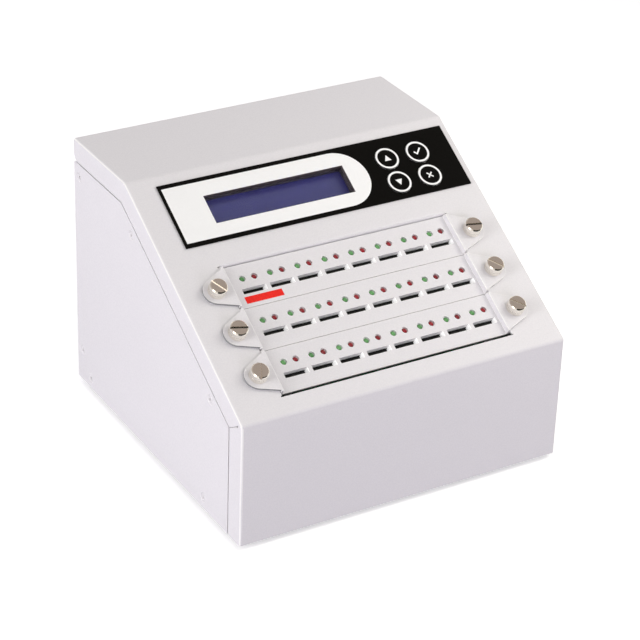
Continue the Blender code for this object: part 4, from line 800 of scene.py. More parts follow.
def piece(name, parts, nodes, place=Matrix()):
    """One finished piece from (mesh, material) parts, in place of CAD nodes.

    It rides on the first node's body. A part without a material keeps its own,
    and the place moves all parts together.
    """
    whole = bmesh.new()
    materials = []
    for mesh, material in parts:
        wanted = list(mesh.materials) if material is None else [material]
        places = []
        for one in wanted:
            if one not in materials:
                materials.append(one)
            places.append(materials.index(one))
        count = len(whole.faces)
        whole.from_mesh(mesh)
        whole.faces.ensure_lookup_table()
        for face in whole.faces[count:]:
            face.material_index = places[face.material_index if material is None else 0]
    bmesh.ops.transform(whole, matrix=place, verts=whole.verts)
    mesh = bpy.data.meshes.new(name)
    whole.to_mesh(mesh)
    whole.free()
    for material in materials:
        mesh.materials.append(material)
    mesh.shade_smooth()
    mesh.set_sharp_from_angle(angle=SMOOTH_ANGLE)
    item = put(name, mesh)
    weighted = item.modifiers.new("normals", "WEIGHTED_NORMAL")
    weighted.keep_sharp = True
    made = put(name, plain_mesh(item))
    made.name = name
    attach(made, body_of(nodes[0]))
    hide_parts(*nodes)
    return made


# Geometry Nodes

def real_copies(tree, points, model, finish, result, **settings):
    """Sets the model on the points, as one plain mesh of one finish."""
    placed = step(tree, "GeometryNodeInstanceOnPoints", {"Points": points, "Instance": model, **settings})
    real = step(tree, "GeometryNodeRealizeInstances", {"Geometry": placed.outputs[0]})
    painted = {"Geometry": real.outputs[0], "Material": finish}
    wire(tree, step(tree, "GeometryNodeSetMaterial", painted).outputs[0], result["Geometry"])
    return tree


def instance_tree(name):
    """Sets a model on each point of the carrier, turned and coloured as told."""
    inputs = {"Places": "Geometry", "Model": "Object", "Size": 1.0, "Finish": "Material"}
    tree, source, result = start_group(name, "GeometryNodeTree", inputs, {"Geometry": "Geometry"})
    model = step(tree, "GeometryNodeObjectInfo", {"Object": source["Model"]})
    turn = step(tree, "GeometryNodeInputNamedAttribute", {"Name": "turn"}, data_type="FLOAT_VECTOR")
    turned = step(tree, "FunctionNodeEulerToRotation", {0: turn.outputs[0]})
    return real_copies(
        tree, source["Places"], model.outputs["Geometry"], source["Finish"], result,
        Rotation=turned.outputs[0], Scale=source["Size"],
    )


def row_tree(name):
    """Repeats the carrier's own mesh in a row of the given count and step."""
    inputs = {"Model": "Geometry", "Count": 2, "Step": "Vector", "Finish": "Material"}
    tree, source, result = start_group(name, "GeometryNodeTree", inputs, {"Geometry": "Geometry"})
    line = {"Count": source["Count"], "Start Location": (0, 0, 0), "Offset": source["Step"]}
    points = step(tree, "GeometryNodeMeshLine", line).outputs[0]
    return real_copies(tree, points, source["Model"], source["Finish"], result)


PLACED = instance_tree("set on places")
IN_A_ROW = row_tree("repeat in a row")


def grown(carrier, tree, **values):
    """Runs a Geometry Nodes tree on a carrier mesh and returns a plain mesh."""
    item = put("carrier", carrier)
    change = item.modifiers.new("grow", "NODES")
    change.node_group = tree
    for socket in tree.interface.items_tree:
        if socket.item_type == "SOCKET" and socket.in_out == "INPUT" and socket.name in values:
            change[socket.identifier] = values[socket.name]
    return plain_mesh(item)


def repeated(mesh, count, offset, material):
    return grown(mesh, IN_A_ROW, Count=count, Step=tuple(offset), Finish=material)


def set_on(places, model, material, turns=None):
    """Copies of the model mesh on each place, with its Euler turn."""
    carrier = bpy.data.meshes.new("places")
    carrier.from_pydata([tuple(place) for place in places], [], [])
    values = carrier.attributes.new("turn", "FLOAT_VECTOR", "POINT")
    for i in range(len(places)):
        values.data[i].vector = turns[i] if turns else (0, 0, 0)
    pattern = put("model", model)
    made = grown(carrier, PLACED, Model=pattern, Size=1.0, Finish=material)
    bpy.data.objects.remove(pattern, do_unlink=True)
    return made


# Case

def on_left_fold(face):
    """Chooses the bends left of the slope and the front, which get a painted highlight."""
    x, y, z = face.normal
    return x < -UPRIGHT and (z > UPRIGHT or y < -UPRIGHT)


def wide_seams(mesh):
    """Draws a side panel's front and upper edges back from the cover's folds."""
    front = min(vertex.co.y for vertex in mesh.vertices) + FIT
    top = max(vertex.co.z for vertex in mesh.vertices) - FIT
    for vertex in mesh.vertices:
        if vertex.co.y < front:
            vertex.co.y += SEAM
        if vertex.co.z > top:
            vertex.co.z -= SEAM
    return mesh


def case_sheets():
    # The cover's left folds take the paler coat as a painted highlight.
    cover = painted(softened("cover", SHEET_EASE), on_left_fold, COAT, HIGHLIGHT_COAT)
    piece("cover_sheet", [(cover, None)], ["cover"])
    piece("chassis_sheet", [(softened("chassis", SHEET_EASE), COAT)], ["chassis"])
    for node in ("left_side_panel", "right_side_panel"):
        piece(node + "_sheet", [(eased(wide_seams(node_mesh(node)), 0.0002), COAT)], [node])


def screw_model():
    """Countersunk screw head with a cross recess, its face at the origin."""
    profile = [
        (0, -0.00002), (0.0009, -0.00006), (0.0016, -0.00022), (0.0021, -0.00044), (0.00235, -0.0007),
        (0.0014, -0.0013), (0.0013, -0.006), (0, -0.006),
    ]
    tapered = [(-0.0013, 0.0005), (-0.0009, -0.0012), (0.0009, -0.0012), (0.0013, 0.0005)]
    cutters = []
    for turn in (0, math.pi / 2):
        bar = prism_mesh(tapered, -0.00034, 0.00034, "Y")
        cutters.append(moved(bar, Matrix.Rotation(turn, 4, "Z")))
    return carved(turned_mesh(profile, 32), *cutters)


def side_screws():
    """Both sides' screws, each turned as its driver left it."""
    places, turns, nodes = [], [], []
    for side_name, side in (("left", -1), ("right", 1)):
        for number in range(1, 7):
            node = f"{side_name}_side_screw_{number}"
            low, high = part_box(node)
            middle = (low + high) / 2
            middle.x = side * max(abs(low.x), abs(high.x))
            places.append(middle)
            own_turn = Matrix.Rotation(math.radians(17 + 37 * number), 4, "Z")
            turns.append((Matrix.Rotation(side * math.pi / 2, 4, "Y") @ own_turn).to_euler())
            nodes.append(node)
    piece("side_screws", [(set_on(places, screw_model(), COAT, turns), None)], nodes)


def feet():
    profile = [
        (0, 0.0053), (0.0013, 0.0053), (0.0015, 0.005), (0.0015, 0.0027), (0.0056, 0.0027), (0.006, 0.0023),
        (0.0055, 0.0005), (0.0051, 0.0001), (0.0047, 0), (0.0036, 0), (0.0034, 0.0002), (0, 0.0002),
    ]
    places, nodes = [], []
    for number in range(1, 5):
        low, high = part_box(f"foot_{number}")
        places.append(((low.x + high.x) / 2, (low.y + high.y) / 2, 0))
        nodes.append(f"foot_{number}")
    piece("feet", [(set_on(places, turned_mesh(profile, 40), RUBBER), None)], nodes)


# Card modules, each built with its upper edge at y = 0

def tangent_angle(point, centre, turn):
    dx, dy = point[0] - centre[0], point[1] - centre[1]
    bearing = math.atan2(turn * dy, dx)
    return turn * (bearing - math.acos(EAR_NOSE_RADIUS / math.hypot(dx, dy)))


def ear_outline(side):
    """Ear that tapers from the plate's wall to a round nose about its thumbscrew."""
    root_x = MODULE_HALF_WIDTH - SHEET - OVERRUN / 5
    first = (root_x, -EAR_ROOT_DROP)
    last = (root_x, EAR_ROOT_RISE - MODULE_PITCH)
    centre = (THUMBSCREW_X, -THUMBSCREW_DROP)
    start = tangent_angle(first, centre, 1)
    end = tangent_angle(last, centre, -1)
    nose = []
    for i in range(EAR_STEPS + 1):
        angle = start + (end - start) * i / EAR_STEPS
        nose.append(on_circle(centre, EAR_NOSE_RADIUS, angle))
    roots = []
    for root, beside in ((first, nose[0]), (last, nose[-1])):
        share = EAR_ROOT_TRIM / (beside[0] - root_x)
        roots.append((root_x + EAR_ROOT_TRIM, root[1] + share * (beside[1] - root[1])))
    return [(side * x, y) for x, y in (roots[0], *nose, roots[1])]


def slot_starts():
    return [SLOT_START_X + i * SLOT_PITCH for i in range(SLOT_COUNT)]


def lamp_places():
    return [start + LAMP_INSET + j * LAMP_SPACING for start in slot_starts() for j in (0, 1)]


def slot_holes(low, high):
    """All slots of a module as cutters between two heights."""
    holes = bmesh.new()
    near, far = -SLOT_DROP - SLOT_HEIGHT / 2, SLOT_HEIGHT / 2 - SLOT_DROP
    for start in slot_starts():
        outline = soft_rectangle(start, start + SLOT_LENGTH, near, far, 0.0002, 2)
        add_prism(holes, outline, low - OVERRUN, high + OVERRUN)
    return mesh_of(holes)


def plate_blank():
    """Floor and walls of one module, with rounded bends."""
    outer = MODULE_HALF_WIDTH
    inner = MODULE_HALF_WIDTH - SHEET
    right = [(outer, EAR_TOP, 0), (outer, FLOOR_LOW, BEND_RADIUS)]
    left = [(-outer, FLOOR_LOW, BEND_RADIUS), (-outer, EAR_TOP, 0)]
    inside = [(-inner, EAR_TOP, INNER_BEND), (-inner, FLOOR_TOP, FIT), (inner, FLOOR_TOP, FIT)]
    section = rounded(right + left + inside + [(inner, EAR_TOP, INNER_BEND)])
    return prism_mesh(section, FIT / 2 - MODULE_PITCH, -FIT / 2, "Y")


def plate_finish(face):
    """Chooses painted shade for the left ears' edges, and a painted highlight for the folds and the right
    ears' edges.
    """
    x, y, z = face.normal
    # Painted shade on the left ears' edges, a painted highlight on the right ears' edges
    if abs(face.center.x) > MODULE_HALF_WIDTH + FIT and abs(z) < UPRIGHT:
        return 1 if face.center.x < 0 else 2
    # Painted highlight on the bends of the floor's walls
    on_bend = abs(x) > UPRIGHT and z > UPRIGHT and face.center.z > FLOOR_TOP + FIT
    return 2 if on_bend else 0


def plate_parts():
    added = []
    studs, lamp_holes, corners = bmesh.new(), bmesh.new(), bmesh.new()
    for side in (-1, 1):
        added.append(prism_mesh(ear_outline(side), EAR_LOW, EAR_TOP))
        for y in (-STUD_EDGE, STUD_EDGE - MODULE_PITCH):
            stud = ring_points((side * STUD_X, y), STUD_RADIUS, 16)
            add_prism(studs, stud, MODULE_BOARD_TOP + FIT, FLOOR_LOW + FIT)
        screw = ring_points((side * THUMBSCREW_X, -THUMBSCREW_DROP), SHANK_HOLE_RADIUS, 32)
        add_prism(corners, screw, -OVERRUN, EAR_TOP + OVERRUN)
        ends = sorted((side * (MODULE_HALF_WIDTH - SHEET - OVERRUN), side * (MODULE_HALF_WIDTH + OVERRUN)))
        add_prism(corners, rectangle(*ends, -EAR_ROOT_DROP, OVERRUN), EAR_LOW - OVERRUN, EAR_TOP + OVERRUN)
    for x in lamp_places():
        hole = ring_points((x, -LAMP_DROP), LAMP_HOLE_RADIUS, 32)
        add_prism(lamp_holes, hole, FLOOR_LOW - OVERRUN, FLOOR_TOP + OVERRUN)
    mesh = carved(
        plate_blank(), slot_holes(FLOOR_LOW, FLOOR_TOP), mesh_of(lamp_holes),
        mesh_of(corners), joined=[*added, mesh_of(studs)],
    )
    return [(painted(eased(mesh, 0.00014), plate_finish, COAT, SHADE_EDGE, HIGHLIGHT_COAT), None)]


def guide_parts():
    """Card guide: a white bar on a black foot, with a pale end pad in each slot that glows with painted
    light.
    """
    half = GUIDE_WIDTH / 2
    outline = rectangle(BOARD_LEFT, BOARD_RIGHT - OVERRUN, -SLOT_DROP - half, half - SLOT_DROP)
    parts = []
    for low, high, material in (
        (GUIDE_SPLIT, GUIDE_TOP, WHITE_PLASTIC), (GUIDE_LOW, GUIDE_SPLIT, BLACK_PLASTIC),
    ):
        bar = carved(prism_mesh(outline, low, high), slot_holes(low, high))
        parts.append((eased(bar, 0.0001), material))
    last = SLOT_START_X + SLOT_LENGTH
    half = SLOT_HEIGHT / 2 - FIT / 4
    top = FLOOR_TOP - FIT / 2
    side_view = [(last, top), (last - FIT, top), (last - PAD_RUN, PAD_LOW), (last, PAD_LOW)]
    pad = eased(prism_mesh(side_view, -SLOT_DROP - half, half - SLOT_DROP, "Y"), 0.00006)
    return [*parts, (repeated(pad, SLOT_COUNT, (SLOT_PITCH, 0, 0), GLOW_PLASTIC), None)]


def lamp_profile():
    """Flat-domed lamp body with its flange."""
    profile = [(0, LAMP_TOP)]
    for i in range(1, 7):
        angle = math.radians(90 - 15 * i)
        rise = (LAMP_TOP - LAMP_SHOULDER) * math.sin(angle)
        profile.append((LAMP_RADIUS * math.cos(angle), LAMP_SHOULDER + rise))
    flange = LAMP_RADIUS + 0.00025
    low, high = LAMP_BAR_TOP - 0.0001, LAMP_BAR_TOP + 0.0008
    return profile + [(LAMP_RADIUS, high), (flange, high), (flange, low), (0, low)]


def sleeve_profile():
    """White sleeve round a lamp, just under the floor sheet."""
    outer, inner = LAMP_HOLE_RADIUS + 0.0006, LAMP_RADIUS + 0.00006
    top = FLOOR_LOW - 0.00005
    return ring_section(outer, inner, top - 0.0022, top)


def lamps_parts():
    """Holder bar and the row of lamps, green and red in turn, in white sleeves that glow with painted light.
    """
    places = [(x, -LAMP_DROP, 0) for x in lamp_places()]
    half = LAMP_BAR_WIDTH / 2
    first, last = places[0][0] - half, places[-1][0] + half
    outline = soft_rectangle(first, last, -LAMP_DROP - half, half - LAMP_DROP, 0.0005)
    bar = prism_mesh(outline, MODULE_BOARD_TOP + FIT, LAMP_BAR_TOP)
    parts = [(eased(bar, 0.0002), BLACK_PLASTIC)]
    for chosen, profile, material in (
        (places[0::2], lamp_profile(), GREEN_LAMP), (places[1::2], lamp_profile(), RED_LAMP),
        (places, sleeve_profile(), GLOW_PLASTIC),
    ):
        parts.append((set_on(chosen, turned_mesh(profile, 24), material), None))
    return parts


def socket_shell():
    """Black shell of one card socket, with its mouth and a row of windows."""
    half_x, half_y = SOCKET_LENGTH / 2, SOCKET_WIDTH / 2
    outline = soft_rectangle(-half_x, half_x, -half_y, half_y, 0.0005, 3)
    card = rectangle(-CARD_WIDTH / 2, CARD_WIDTH / 2, -CARD_THICKNESS / 2, CARD_THICKNESS / 2)
    mouth = prism_mesh(card, SOCKET_TOP - 0.006, SOCKET_TOP + OVERRUN)
    windows = bmesh.new()
    for x in (-0.0038, 0, 0.0038):
        window = rectangle(x - 0.0008, x + 0.0008, SOCKET_TOP - 0.0052, SOCKET_TOP - 0.0018)
        add_prism(windows, window, -half_y - OVERRUN, 0.0003 - half_y, "Y")
    shell = prism_mesh(outline, MODULE_BOARD_TOP, SOCKET_TOP)
    return eased(carved(shell, mouth, mesh_of(windows)), 0.00012)


def contact_model():
    """One sprung contact, a narrow bent strip that stands in a socket."""
    strip = [
        (0.0002, -0.0056), (0.0005, -0.0056), (0.00055, -0.003), (0.0002, -0.0018), (0.0002, -0.0014),
        (0.0001, -0.0014), (0.0001, -0.0018), (0.00045, -0.003), (0.0004, -0.0054),
    ]
    return prism_mesh([(y, SOCKET_TOP + z) for y, z in strip], -0.0002, 0.0002, "X")


def socket_board_parts():
    """Board with a socket under each slot, their contacts, and the plug below."""
    outline = rectangle(BOARD_LEFT, BOARD_RIGHT, BOARD_EDGE - MODULE_PITCH, -BOARD_EDGE)
    board = eased(prism_mesh(outline, MODULE_BOARD_LOW, MODULE_BOARD_TOP), 0.00012)
    at_first = shift(SLOT_START_X + SLOT_LENGTH / 2, -SLOT_DROP, 0)
    step_x = (SLOT_PITCH, 0, 0)
    first_contact = moved(contact_model(), shift(-0.00385, 0, 0))
    comb = repeated(first_contact, 8, (0.0011, 0, 0), GOLD)
    half_x, half_y = PLUG_LENGTH / 2, PLUG_WIDTH / 2
    outline = soft_rectangle(-half_x, half_x, -PLUG_DROP - half_y, half_y - PLUG_DROP, 0.0004)
    plug = prism_mesh(outline, PLUG_LOW, MODULE_BOARD_LOW)
    return [
        (board, MASK_GREEN),
        (repeated(moved(socket_shell(), at_first), SLOT_COUNT, step_x, BLACK_PLASTIC), None),
        (repeated(moved(comb, at_first), SLOT_COUNT, step_x, GOLD), None),
        (eased(plug, 0.0002), CREAM_PLASTIC),
    ]


def modules():
    plate, guide = plate_parts(), guide_parts()
    lamps, sockets = lamps_parts(), socket_board_parts()
    for number in range(1, MODULE_COUNT + 1):
        place = SLOPE @ shift(0, MODULE_TOP - (number - 1) * MODULE_PITCH, 0)
        name = f"module_{number}"
        piece(f"{name}_sheet", plate, [f"{name}_plate"], place)
        piece(f"{name}_guide", guide, [f"{name}_slot_guide"], place)
        piece(f"{name}_lamps", lamps, [f"{name}_lamp_strip"], place)
        piece(f"{name}_sockets", sockets, [f"{name}_socket_board"], place)
        for side_name, side in (("left", -1), ("right", 1)):
            at_screw = place @ shift(side * THUMBSCREW_X, -THUMBSCREW_DROP, 0)
            turn = math.radians(KNOB_TURNS[side_name][number - 1])
            screw = f"{name}_{side_name}"
            piece(f"{screw}_thumbscrew", [(knob_mesh(turn), NICKEL)], [f"{screw}_knob"], at_screw)
            piece(f"{screw}_sleeve", [(collar_mesh(), NICKEL)], [f"{screw}_collar"], at_screw)


# Thumbscrews

def mark_radius(mesh):
    """Keeps each point's distance from the turning axis, for the ring finish."""
    values = mesh.attributes.new("turned_radius", "FLOAT", "POINT")
    for vertex in mesh.vertices:
        values.data[vertex.index].value = math.hypot(vertex.co.x, vertex.co.y) + vertex.co.z
    return mesh


def knob_mesh(turn):
    """Slotted knob with a bevelled rim, on its threaded shank."""
    shoulder = KNOB_TOP - KNOB_EDGE_HEIGHT
    profile = rounded([
        (0, KNOB_TOP, 0), (KNOB_RADIUS - KNOB_EDGE_WIDTH, KNOB_TOP, KNOB_ROUNDING),
        (KNOB_RADIUS, shoulder, KNOB_ROUNDING), (KNOB_RADIUS, KNOB_LOW, WELD), (SHANK_RADIUS, KNOB_LOW, 0),
    ], 3)
    height = KNOB_LOW - THREAD_LEAD
    while height > SHANK_LOW + THREAD_LEAD:
        profile += [(SHANK_RADIUS, height), (SHANK_RADIUS - 0.00022, height - THREAD_LEAD / 2)]
        height -= THREAD_LEAD
    profile += [(SHANK_RADIUS - 0.0003, SHANK_LOW), (0, SHANK_LOW)]
    half = KNOB_SLOT_WIDTH / 2
    reach = KNOB_RADIUS + OVERRUN
    outline = rectangle(-reach, reach, -half, half)
    slot = prism_mesh(outline, KNOB_TOP - KNOB_SLOT_DEPTH, KNOB_TOP + OVERRUN)
    cut = carved(turned_mesh(profile, 64), moved(slot, Matrix.Rotation(turn, 4, "Z")))
    return mark_radius(eased(cut, 0.00008, 2, math.radians(55)))


def collar_mesh():
    soft = 0.0001
    section = ring_section(COLLAR_RADIUS, SHANK_HOLE_RADIUS, COLLAR_LOW, COLLAR_TOP)[:4]
    profile = rounded([(radius, height, soft) for radius, height in section], 3)
    return mark_radius(turned_mesh(profile + profile[:1], 64))


# Overlay, keys and display

def window_outline(margin=0.0):
    return rectangle(WINDOW_LEFT + margin, WINDOW_RIGHT - margin, WINDOW_LOW + margin, WINDOW_HIGH - margin)


def flat_sheet(outline, hole, low, high):
    """A thin layer between two heights, with one hole in it."""
    layer = prism_mesh(outline, low, high)
    return carved(layer, prism_mesh(hole, low - OVERRUN, high + OVERRUN))


def printed_field():
    """White field round the window, with a half round right end."""
    middle = (FIELD_LOW + FIELD_HIGH) / 2
    radius = (FIELD_HIGH - FIELD_LOW) / 2
    outline = [(FIELD_LEFT, FIELD_LOW)]
    for i in range(33):
        outline.append(on_circle((FIELD_RIGHT - radius, middle), radius, math.pi * (i / 32 - 0.5)))
    outline.append((FIELD_LEFT, FIELD_HIGH))
    return flat_sheet(outline, window_outline(), OVERLAY_TOP - INK_DEPTH, OVERLAY_TOP + INK_DEPTH)


def overlay():
    """Printed film, with the black edge that lines the window down to the lens."""
    liner = flat_sheet(window_outline(), window_outline(LINER), -SHEET, OVERLAY_TOP)
    parts = [(softened("overlay", 0.00008), FILM), (moved(liner, SLOPE), BEZEL_BLACK)]
    piece("front_film", [*parts, (moved(printed_field(), SLOPE), WHITE_INK)], ["overlay"])


def label():
    """Bare red strip under the first slot of the first module."""
    outline = rectangle(LABEL_LEFT, LABEL_RIGHT, LABEL_LOW, LABEL_HIGH)
    strip = prism_mesh(outline, FLOOR_TOP - INK_DEPTH, FLOOR_TOP + 2 * INK_DEPTH)
    made = put("source_strip", moved(strip, SLOPE))
    made.data.materials.append(RED_INK)
    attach(made, "module_1")


def key_symbols():
    """Outlines of the marks: two triangles, a tick and a cross of two bars."""
    up = [(-0.0021, -0.0016), (0.0021, -0.0016), (0, 0.0022)]
    down = [(x, -y) for x, y in reversed(up)]
    tick = [
        (-0.0026, 0.0001), (-0.0008, -0.0019), (0.0027, 0.0019), (0.002, 0.0025), (-0.0008, -0.0006),
        (-0.0019, 0.0008),
    ]
    cross = []
    for turn in (math.pi / 4, -math.pi / 4):
        cos, sin = math.cos(turn), math.sin(turn)
        bar = rectangle(-0.0022, 0.0022, -0.00042, 0.00042)
        cross.append([(x * cos - y * sin, x * sin + y * cos) for x, y in bar])
    return {"key_up": [up], "key_confirm": [tick], "key_down": [down], "key_back": cross}


def keys():
    """Round keys, each with its printed ring and symbol."""
    soft = 0.00018
    profile = [
        (0, KEY_TOP), (KEY_RADIUS - 2 * soft, KEY_TOP), (KEY_RADIUS - 0.6 * soft, KEY_TOP - 0.3 * soft),
        (KEY_RADIUS, KEY_TOP - soft), (KEY_RADIUS, OVERLAY_TOP + 0.00005), (KEY_RADIUS - soft, OVERLAY_TOP),
        (0.0027, OVERLAY_TOP), (0.0027, -0.0015), (0.004, -0.0015), (0.004, -0.0027), (0, -0.0027),
    ]
    low, high = KEY_TOP - INK_DEPTH, KEY_TOP + INK_DEPTH
    ring = ring_section(KEY_RING_RADIUS, KEY_RING_RADIUS - KEY_RING_WIDTH, low, high)
    for i, (node, symbol) in enumerate(key_symbols().items()):
        x = KEY_MIDDLE_X + (i % 2 - 0.5) * KEY_PITCH_X
        y = KEY_MIDDLE_Y + (0.5 - i // 2) * KEY_PITCH_Y
        parts = [(turned_mesh(profile, 64), FILM), (turned_mesh(ring, 64), WHITE_INK)]
        for outline in symbol:
            parts.append((prism_mesh(outline, low, high), WHITE_INK))
        piece(f"{node}_cap", parts, [node], SLOPE @ shift(x, y, 0))


def display():
    """Lens, and the display unit with its glass at the foot of a black bezel."""
    piece("display_window", [(softened("display_lens", 0.0002), WINDOW_CLEAR)], ["display_lens"])
    well = moved(prism_mesh(window_outline(), DISPLAY_TOP - FIT, OVERRUN), SLOPE)
    bezel = eased(carved(node_mesh("display_module"), well), MOULDED_EASE)
    glass = moved(prism_mesh(window_outline(), DISPLAY_TOP - FIT, DISPLAY_TOP), SLOPE)
    piece("display_unit", [(bezel, BEZEL_BLACK), (glass, DISPLAY_BLUE)], ["display_module"])


# Boards and the rear

def banded(node, bands):
    """A board's mesh, its faces finished by their height over the slope."""
    flat = SLOPE.inverted()

    def band_of(face):
        height = (flat @ face.center).z
        return next(i for i, band in enumerate(bands) if height > band[0])

    return painted(softened(node, FINE_EASE), band_of, *[material for _, material in bands])


def chip_legs():
    """Both rows of a chip's legs, at its first place."""
    side_view = [
        (-0.0042, 0), (-0.0034, 0), (-0.0034, 0.001), (-0.0028, 0.001), (-0.0028, 0.0012),
        (-0.0036, 0.0012), (-0.0036, 0.0002), (-0.0042, 0.0002),
    ]
    legs = bmesh.new()
    for side in (-1, 1):
        outline = [(side * x, z) for x, z in side_view]
        for i in range(7):
            y = (i - 3) * 0.00127
            add_prism(legs, outline, y - 0.0002, y + 0.0002, "Y")
    return mesh_of(legs)


def can_model():
    """Small electrolytic can with its crimp ring."""
    profile = [
        (0, 0.0054), (0.0019, 0.0054), (0.0021, 0.0052), (0.0021, 0.0016), (0.0019, 0.0013), (0.0021, 0.001),
        (0.0021, 0.0002), (0, 0.0002),
    ]
    return turned_mesh(profile, 24)


def boards():
    """Key board with its switches, and main board with headers, chips, cans and sink."""
    above = FIT / 3
    key_bands = [(KEY_BOARD_TOP + above, BLACK_PLASTIC), (-1, MASK_GREEN)]
    piece("key_board_finished", [(banded("key_board", key_bands), None)], ["key_board"])
    main_bands = [
        (MAIN_BOARD_TOP + above, CREAM_PLASTIC), (MAIN_BOARD_LOW - above, MASK_GREEN), (-1, ALUMINIUM),
    ]
    parts = [(banded("main_board", main_bands), None)]
    step_up = SLOPE.to_3x3() @ Vector((0, CHIP_PITCH, 0))
    for x in CHIP_COLUMNS:
        at_first = SLOPE @ shift(x, 0.018, MAIN_BOARD_TOP)
        beside = SLOPE @ shift(x + 0.0095, 0.0245, MAIN_BOARD_TOP)
        chip = eased(prism_mesh(rectangle(-0.003, 0.003, -0.005, 0.005), 0.0003, 0.0019), FINE_EASE)
        parts.append((repeated(moved(chip, at_first), 4, step_up, CHIP_BLACK), None))
        parts.append((repeated(moved(chip_legs(), at_first), 4, step_up, TIN), None))
        parts.append((repeated(moved(can_model(), beside), 4, step_up * 0.9, ALUMINIUM), None))
    piece("main_board_finished", parts, ["main_board"])


def inlet_mesh():
    """Inlet moulding with plated pins in its mouth."""
    low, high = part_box("power_inlet")
    middle = (low + high) / 2

    def on_pin(face):
        away = face.center - middle
        beside = abs(away.x) < PIN_FIELD_X and abs(away.z + INLET_MOUTH_DROP) < PIN_FIELD_Z
        return beside and face.center.y > high.y - PIN_ROOT_DEPTH

    return painted(softened("power_inlet", MOULDED_EASE), on_pin, BLACK_PLASTIC, TIN)


def rocker_parts():
    """Rocker cap with a bar for on and a ring for off."""
    at_axis = Matrix.Translation(ROCKER_AXIS) @ Matrix.Rotation(-ROCKER_TILT, 4, "X")
    bar = prism_mesh(rectangle(-0.0004, 0.0004, -0.0022, 0.0022), -INK_DEPTH, INK_DEPTH, "Y")
    ring = turned_mesh(ring_section(0.002, 0.0014, -INK_DEPTH, INK_DEPTH), 40)
    parts = [(softened("power_rocker", MOULDED_EASE, 3), BLACK_PLASTIC)]
    for mesh, side in ((bar, 1), (moved(ring, Matrix.Rotation(math.pi / 2, 4, "X")), -1)):
        tilted = Matrix.Rotation(-side * ROCKER_TILT, 4, "X")
        on_face = shift(0, ROCKER_FACE, side * ROCKER_MARK_RISE) @ tilted
        parts.append((moved(mesh, at_axis @ on_face), WHITE_INK))
    return parts


def rear():
    piece("supply_case", [(softened("power_supply", 0.0006, 3), ALUMINIUM)], ["power_supply"])
    piece("inlet_moulding", [(inlet_mesh(), None)], ["power_inlet"])
    piece("rocker_cap", rocker_parts(), ["power_rocker"])
    piece("fan_moulding", [(softened("fan_frame", MOULDED_EASE), BLACK_PLASTIC)], ["fan_frame"])
    piece("fan_blades", [(softened("fan_rotor", FINE_EASE), BLACK_PLASTIC)], ["fan_rotor"])


# Stage

def camera():
    """Camera at the photograph's angle, level but for a slight roll."""
    data = bpy.data.cameras.new("camera")
    data.lens = CAMERA_LENS
    data.sensor_width = SENSOR_WIDTH
    made = put("camera", data)
    cos_rise, sin_rise = math.cos(CAMERA_RISE), math.sin(CAMERA_RISE)
    right = Vector((math.cos(CAMERA_BEARING), math.sin(CAMERA_BEARING), 0))
    back = Vector((right.y * cos_rise, -right.x * cos_rise, sin_rise))
    up = back.cross(right)
    across = right * math.cos(CAMERA_ROLL) + up * math.sin(CAMERA_ROLL)
    upright = up * math.cos(CAMERA_ROLL) - right * math.sin(CAMERA_ROLL)
    turned = Matrix((across, upright, back)).transposed().to_4x4()
    made.matrix_world = Matrix.Translation(CAMERA_PLACE) @ turned
    bpy.context.scene.camera = made


def softbox(name, direction, distance, size, strength, colour):
    """Square area light that faces the middle of the case.

    At a strength of one, a white face turned to it renders white. The
    surroundings stand for it in gloss.
    """
    data = bpy.data.lights.new(name, "AREA")
    data.shape = "SQUARE"
    data.size = size
    data.energy = strength * (math.pi * distance) ** 2
    data.color = colour
    made = put(name, data)
    away = Vector(direction).normalized()
    made.location = Vector((0, 0, 0.08)) + away * distance
    made.rotation_mode = "QUATERNION"
    made.rotation_quaternion = away.to_track_quat("Z", "Y")
    made.visible_glossy = False


def sky_patch(tree, ray, direction, inner, outer):
    """One round a direction, falling to zero between two angles in degrees."""
    toward = tuple(Vector(direction).normalized())
    far, near = math.cos(math.radians(outer)), math.cos(math.radians(inner))
    return spread(tree, likeness(tree, ray, toward), far, near)


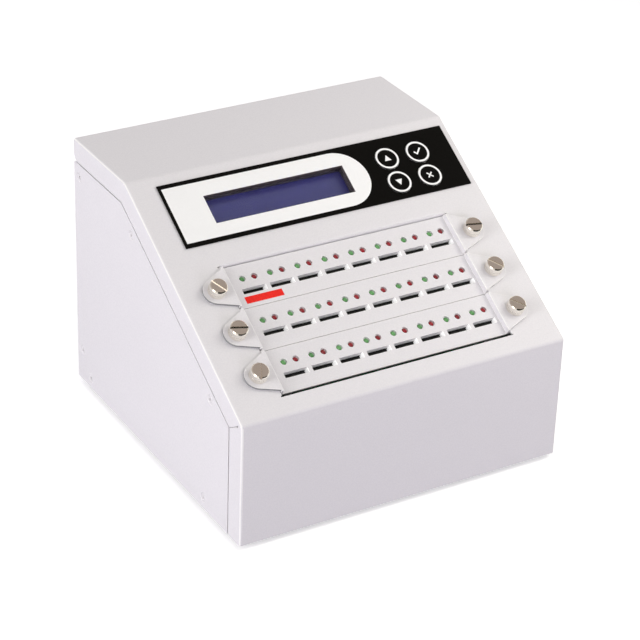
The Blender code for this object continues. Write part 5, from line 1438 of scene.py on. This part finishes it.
def surroundings():
    """White studio for the camera, panels and a dark room for gloss, soft fill for light."""
    world = bpy.data.worlds.new("studio")
    bpy.context.scene.world = world
    world.use_nodes = True
    tree = world.node_tree
    path = step(tree, "ShaderNodeLightPath", {}).outputs
    ray = step(tree, "ShaderNodeTexCoord", {}).outputs["Generated"]
    height = step(tree, "ShaderNodeSeparateXYZ", {0: ray}).outputs[2]
    studio = blend(tree, spread(tree, height, 0.15, 0.8), (1.0, 0.98, 0.95), (0.38, 0.325, 0.295))
    studio = blend(tree, sky_patch(tree, ray, *DARK_ROOM), studio, (0.03, 0.028, 0.025))
    for *patch, bright in GLOSS_PANELS:
        panel = sky_patch(tree, ray, *patch)
        studio = blend(tree, panel, studio, (bright, bright * 0.97, bright * 0.93))
    seen = blend(tree, path["Is Glossy Ray"], (0.4, 0.39, 0.375), studio)
    direct = sum_up(tree, "MAXIMUM", path["Is Camera Ray"], path["Is Transmission Ray"])
    wire(tree, blend(tree, direct, seen, (1, 1, 1)), tree.nodes["Background"].inputs["Color"])


def floor():
    """Pale floor that keeps the shadow of the case, and throws little light back."""
    made = put("floor", prism_mesh(rectangle(-6, 6, -6, 6), -0.01, -0.0001))
    finish = bpy.data.materials.new("pale_floor")
    finish.use_nodes = True
    tree = finish.node_tree
    inputs = shader_inputs(finish)
    inputs["Roughness"].default_value = 0.7
    inputs["Emission Color"].default_value = (1, 1, 1, 1)
    path = step(tree, "ShaderNodeLightPath", {}).outputs
    seen = sum_up(tree, "MAXIMUM", path["Is Camera Ray"], path["Is Transmission Ray"])
    seen = sum_up(tree, "MAXIMUM", seen, path["Is Glossy Ray"])
    wire(tree, blend(tree, seen, (0.42, 0.4, 0.48), (0.8, 0.8, 0.8)), inputs["Base Color"])
    wire(tree, times(tree, seen, 0.5), inputs["Emission Strength"])
    made.data.materials.append(finish)


def stage():
    bpy.context.scene.view_settings.view_transform = "Standard"
    camera()
    surroundings()
    floor()
    softbox("left_softbox", (-0.96, -0.2, 0.14), 1.4, 0.6, 0.42, (0.96, 0.945, 1.0))
    softbox("left_panel", (-0.79, -0.3, 0.51), 1.4, 0.6, 0.21, (1.0, 0.985, 0.95))
    softbox("right_softbox", (0.6, -0.42, 0.68), 0.62, 0.35, 0.41, (1.0, 0.98, 0.93))
    softbox("front_softbox", (0.0, -0.98, 0.1), 1.2, 0.5, 0.19, (0.92, 0.89, 1.0))
    softbox("rear_softbox", (-0.1, 0.87, 0.48), 1.4, 0.6, 0.2, (0.82, 0.78, 1.0))


def build():
    stage()
    case_sheets()
    side_screws()
    feet()
    modules()
    overlay()
    label()
    keys()
    display()
    boards()
    rear()


build()
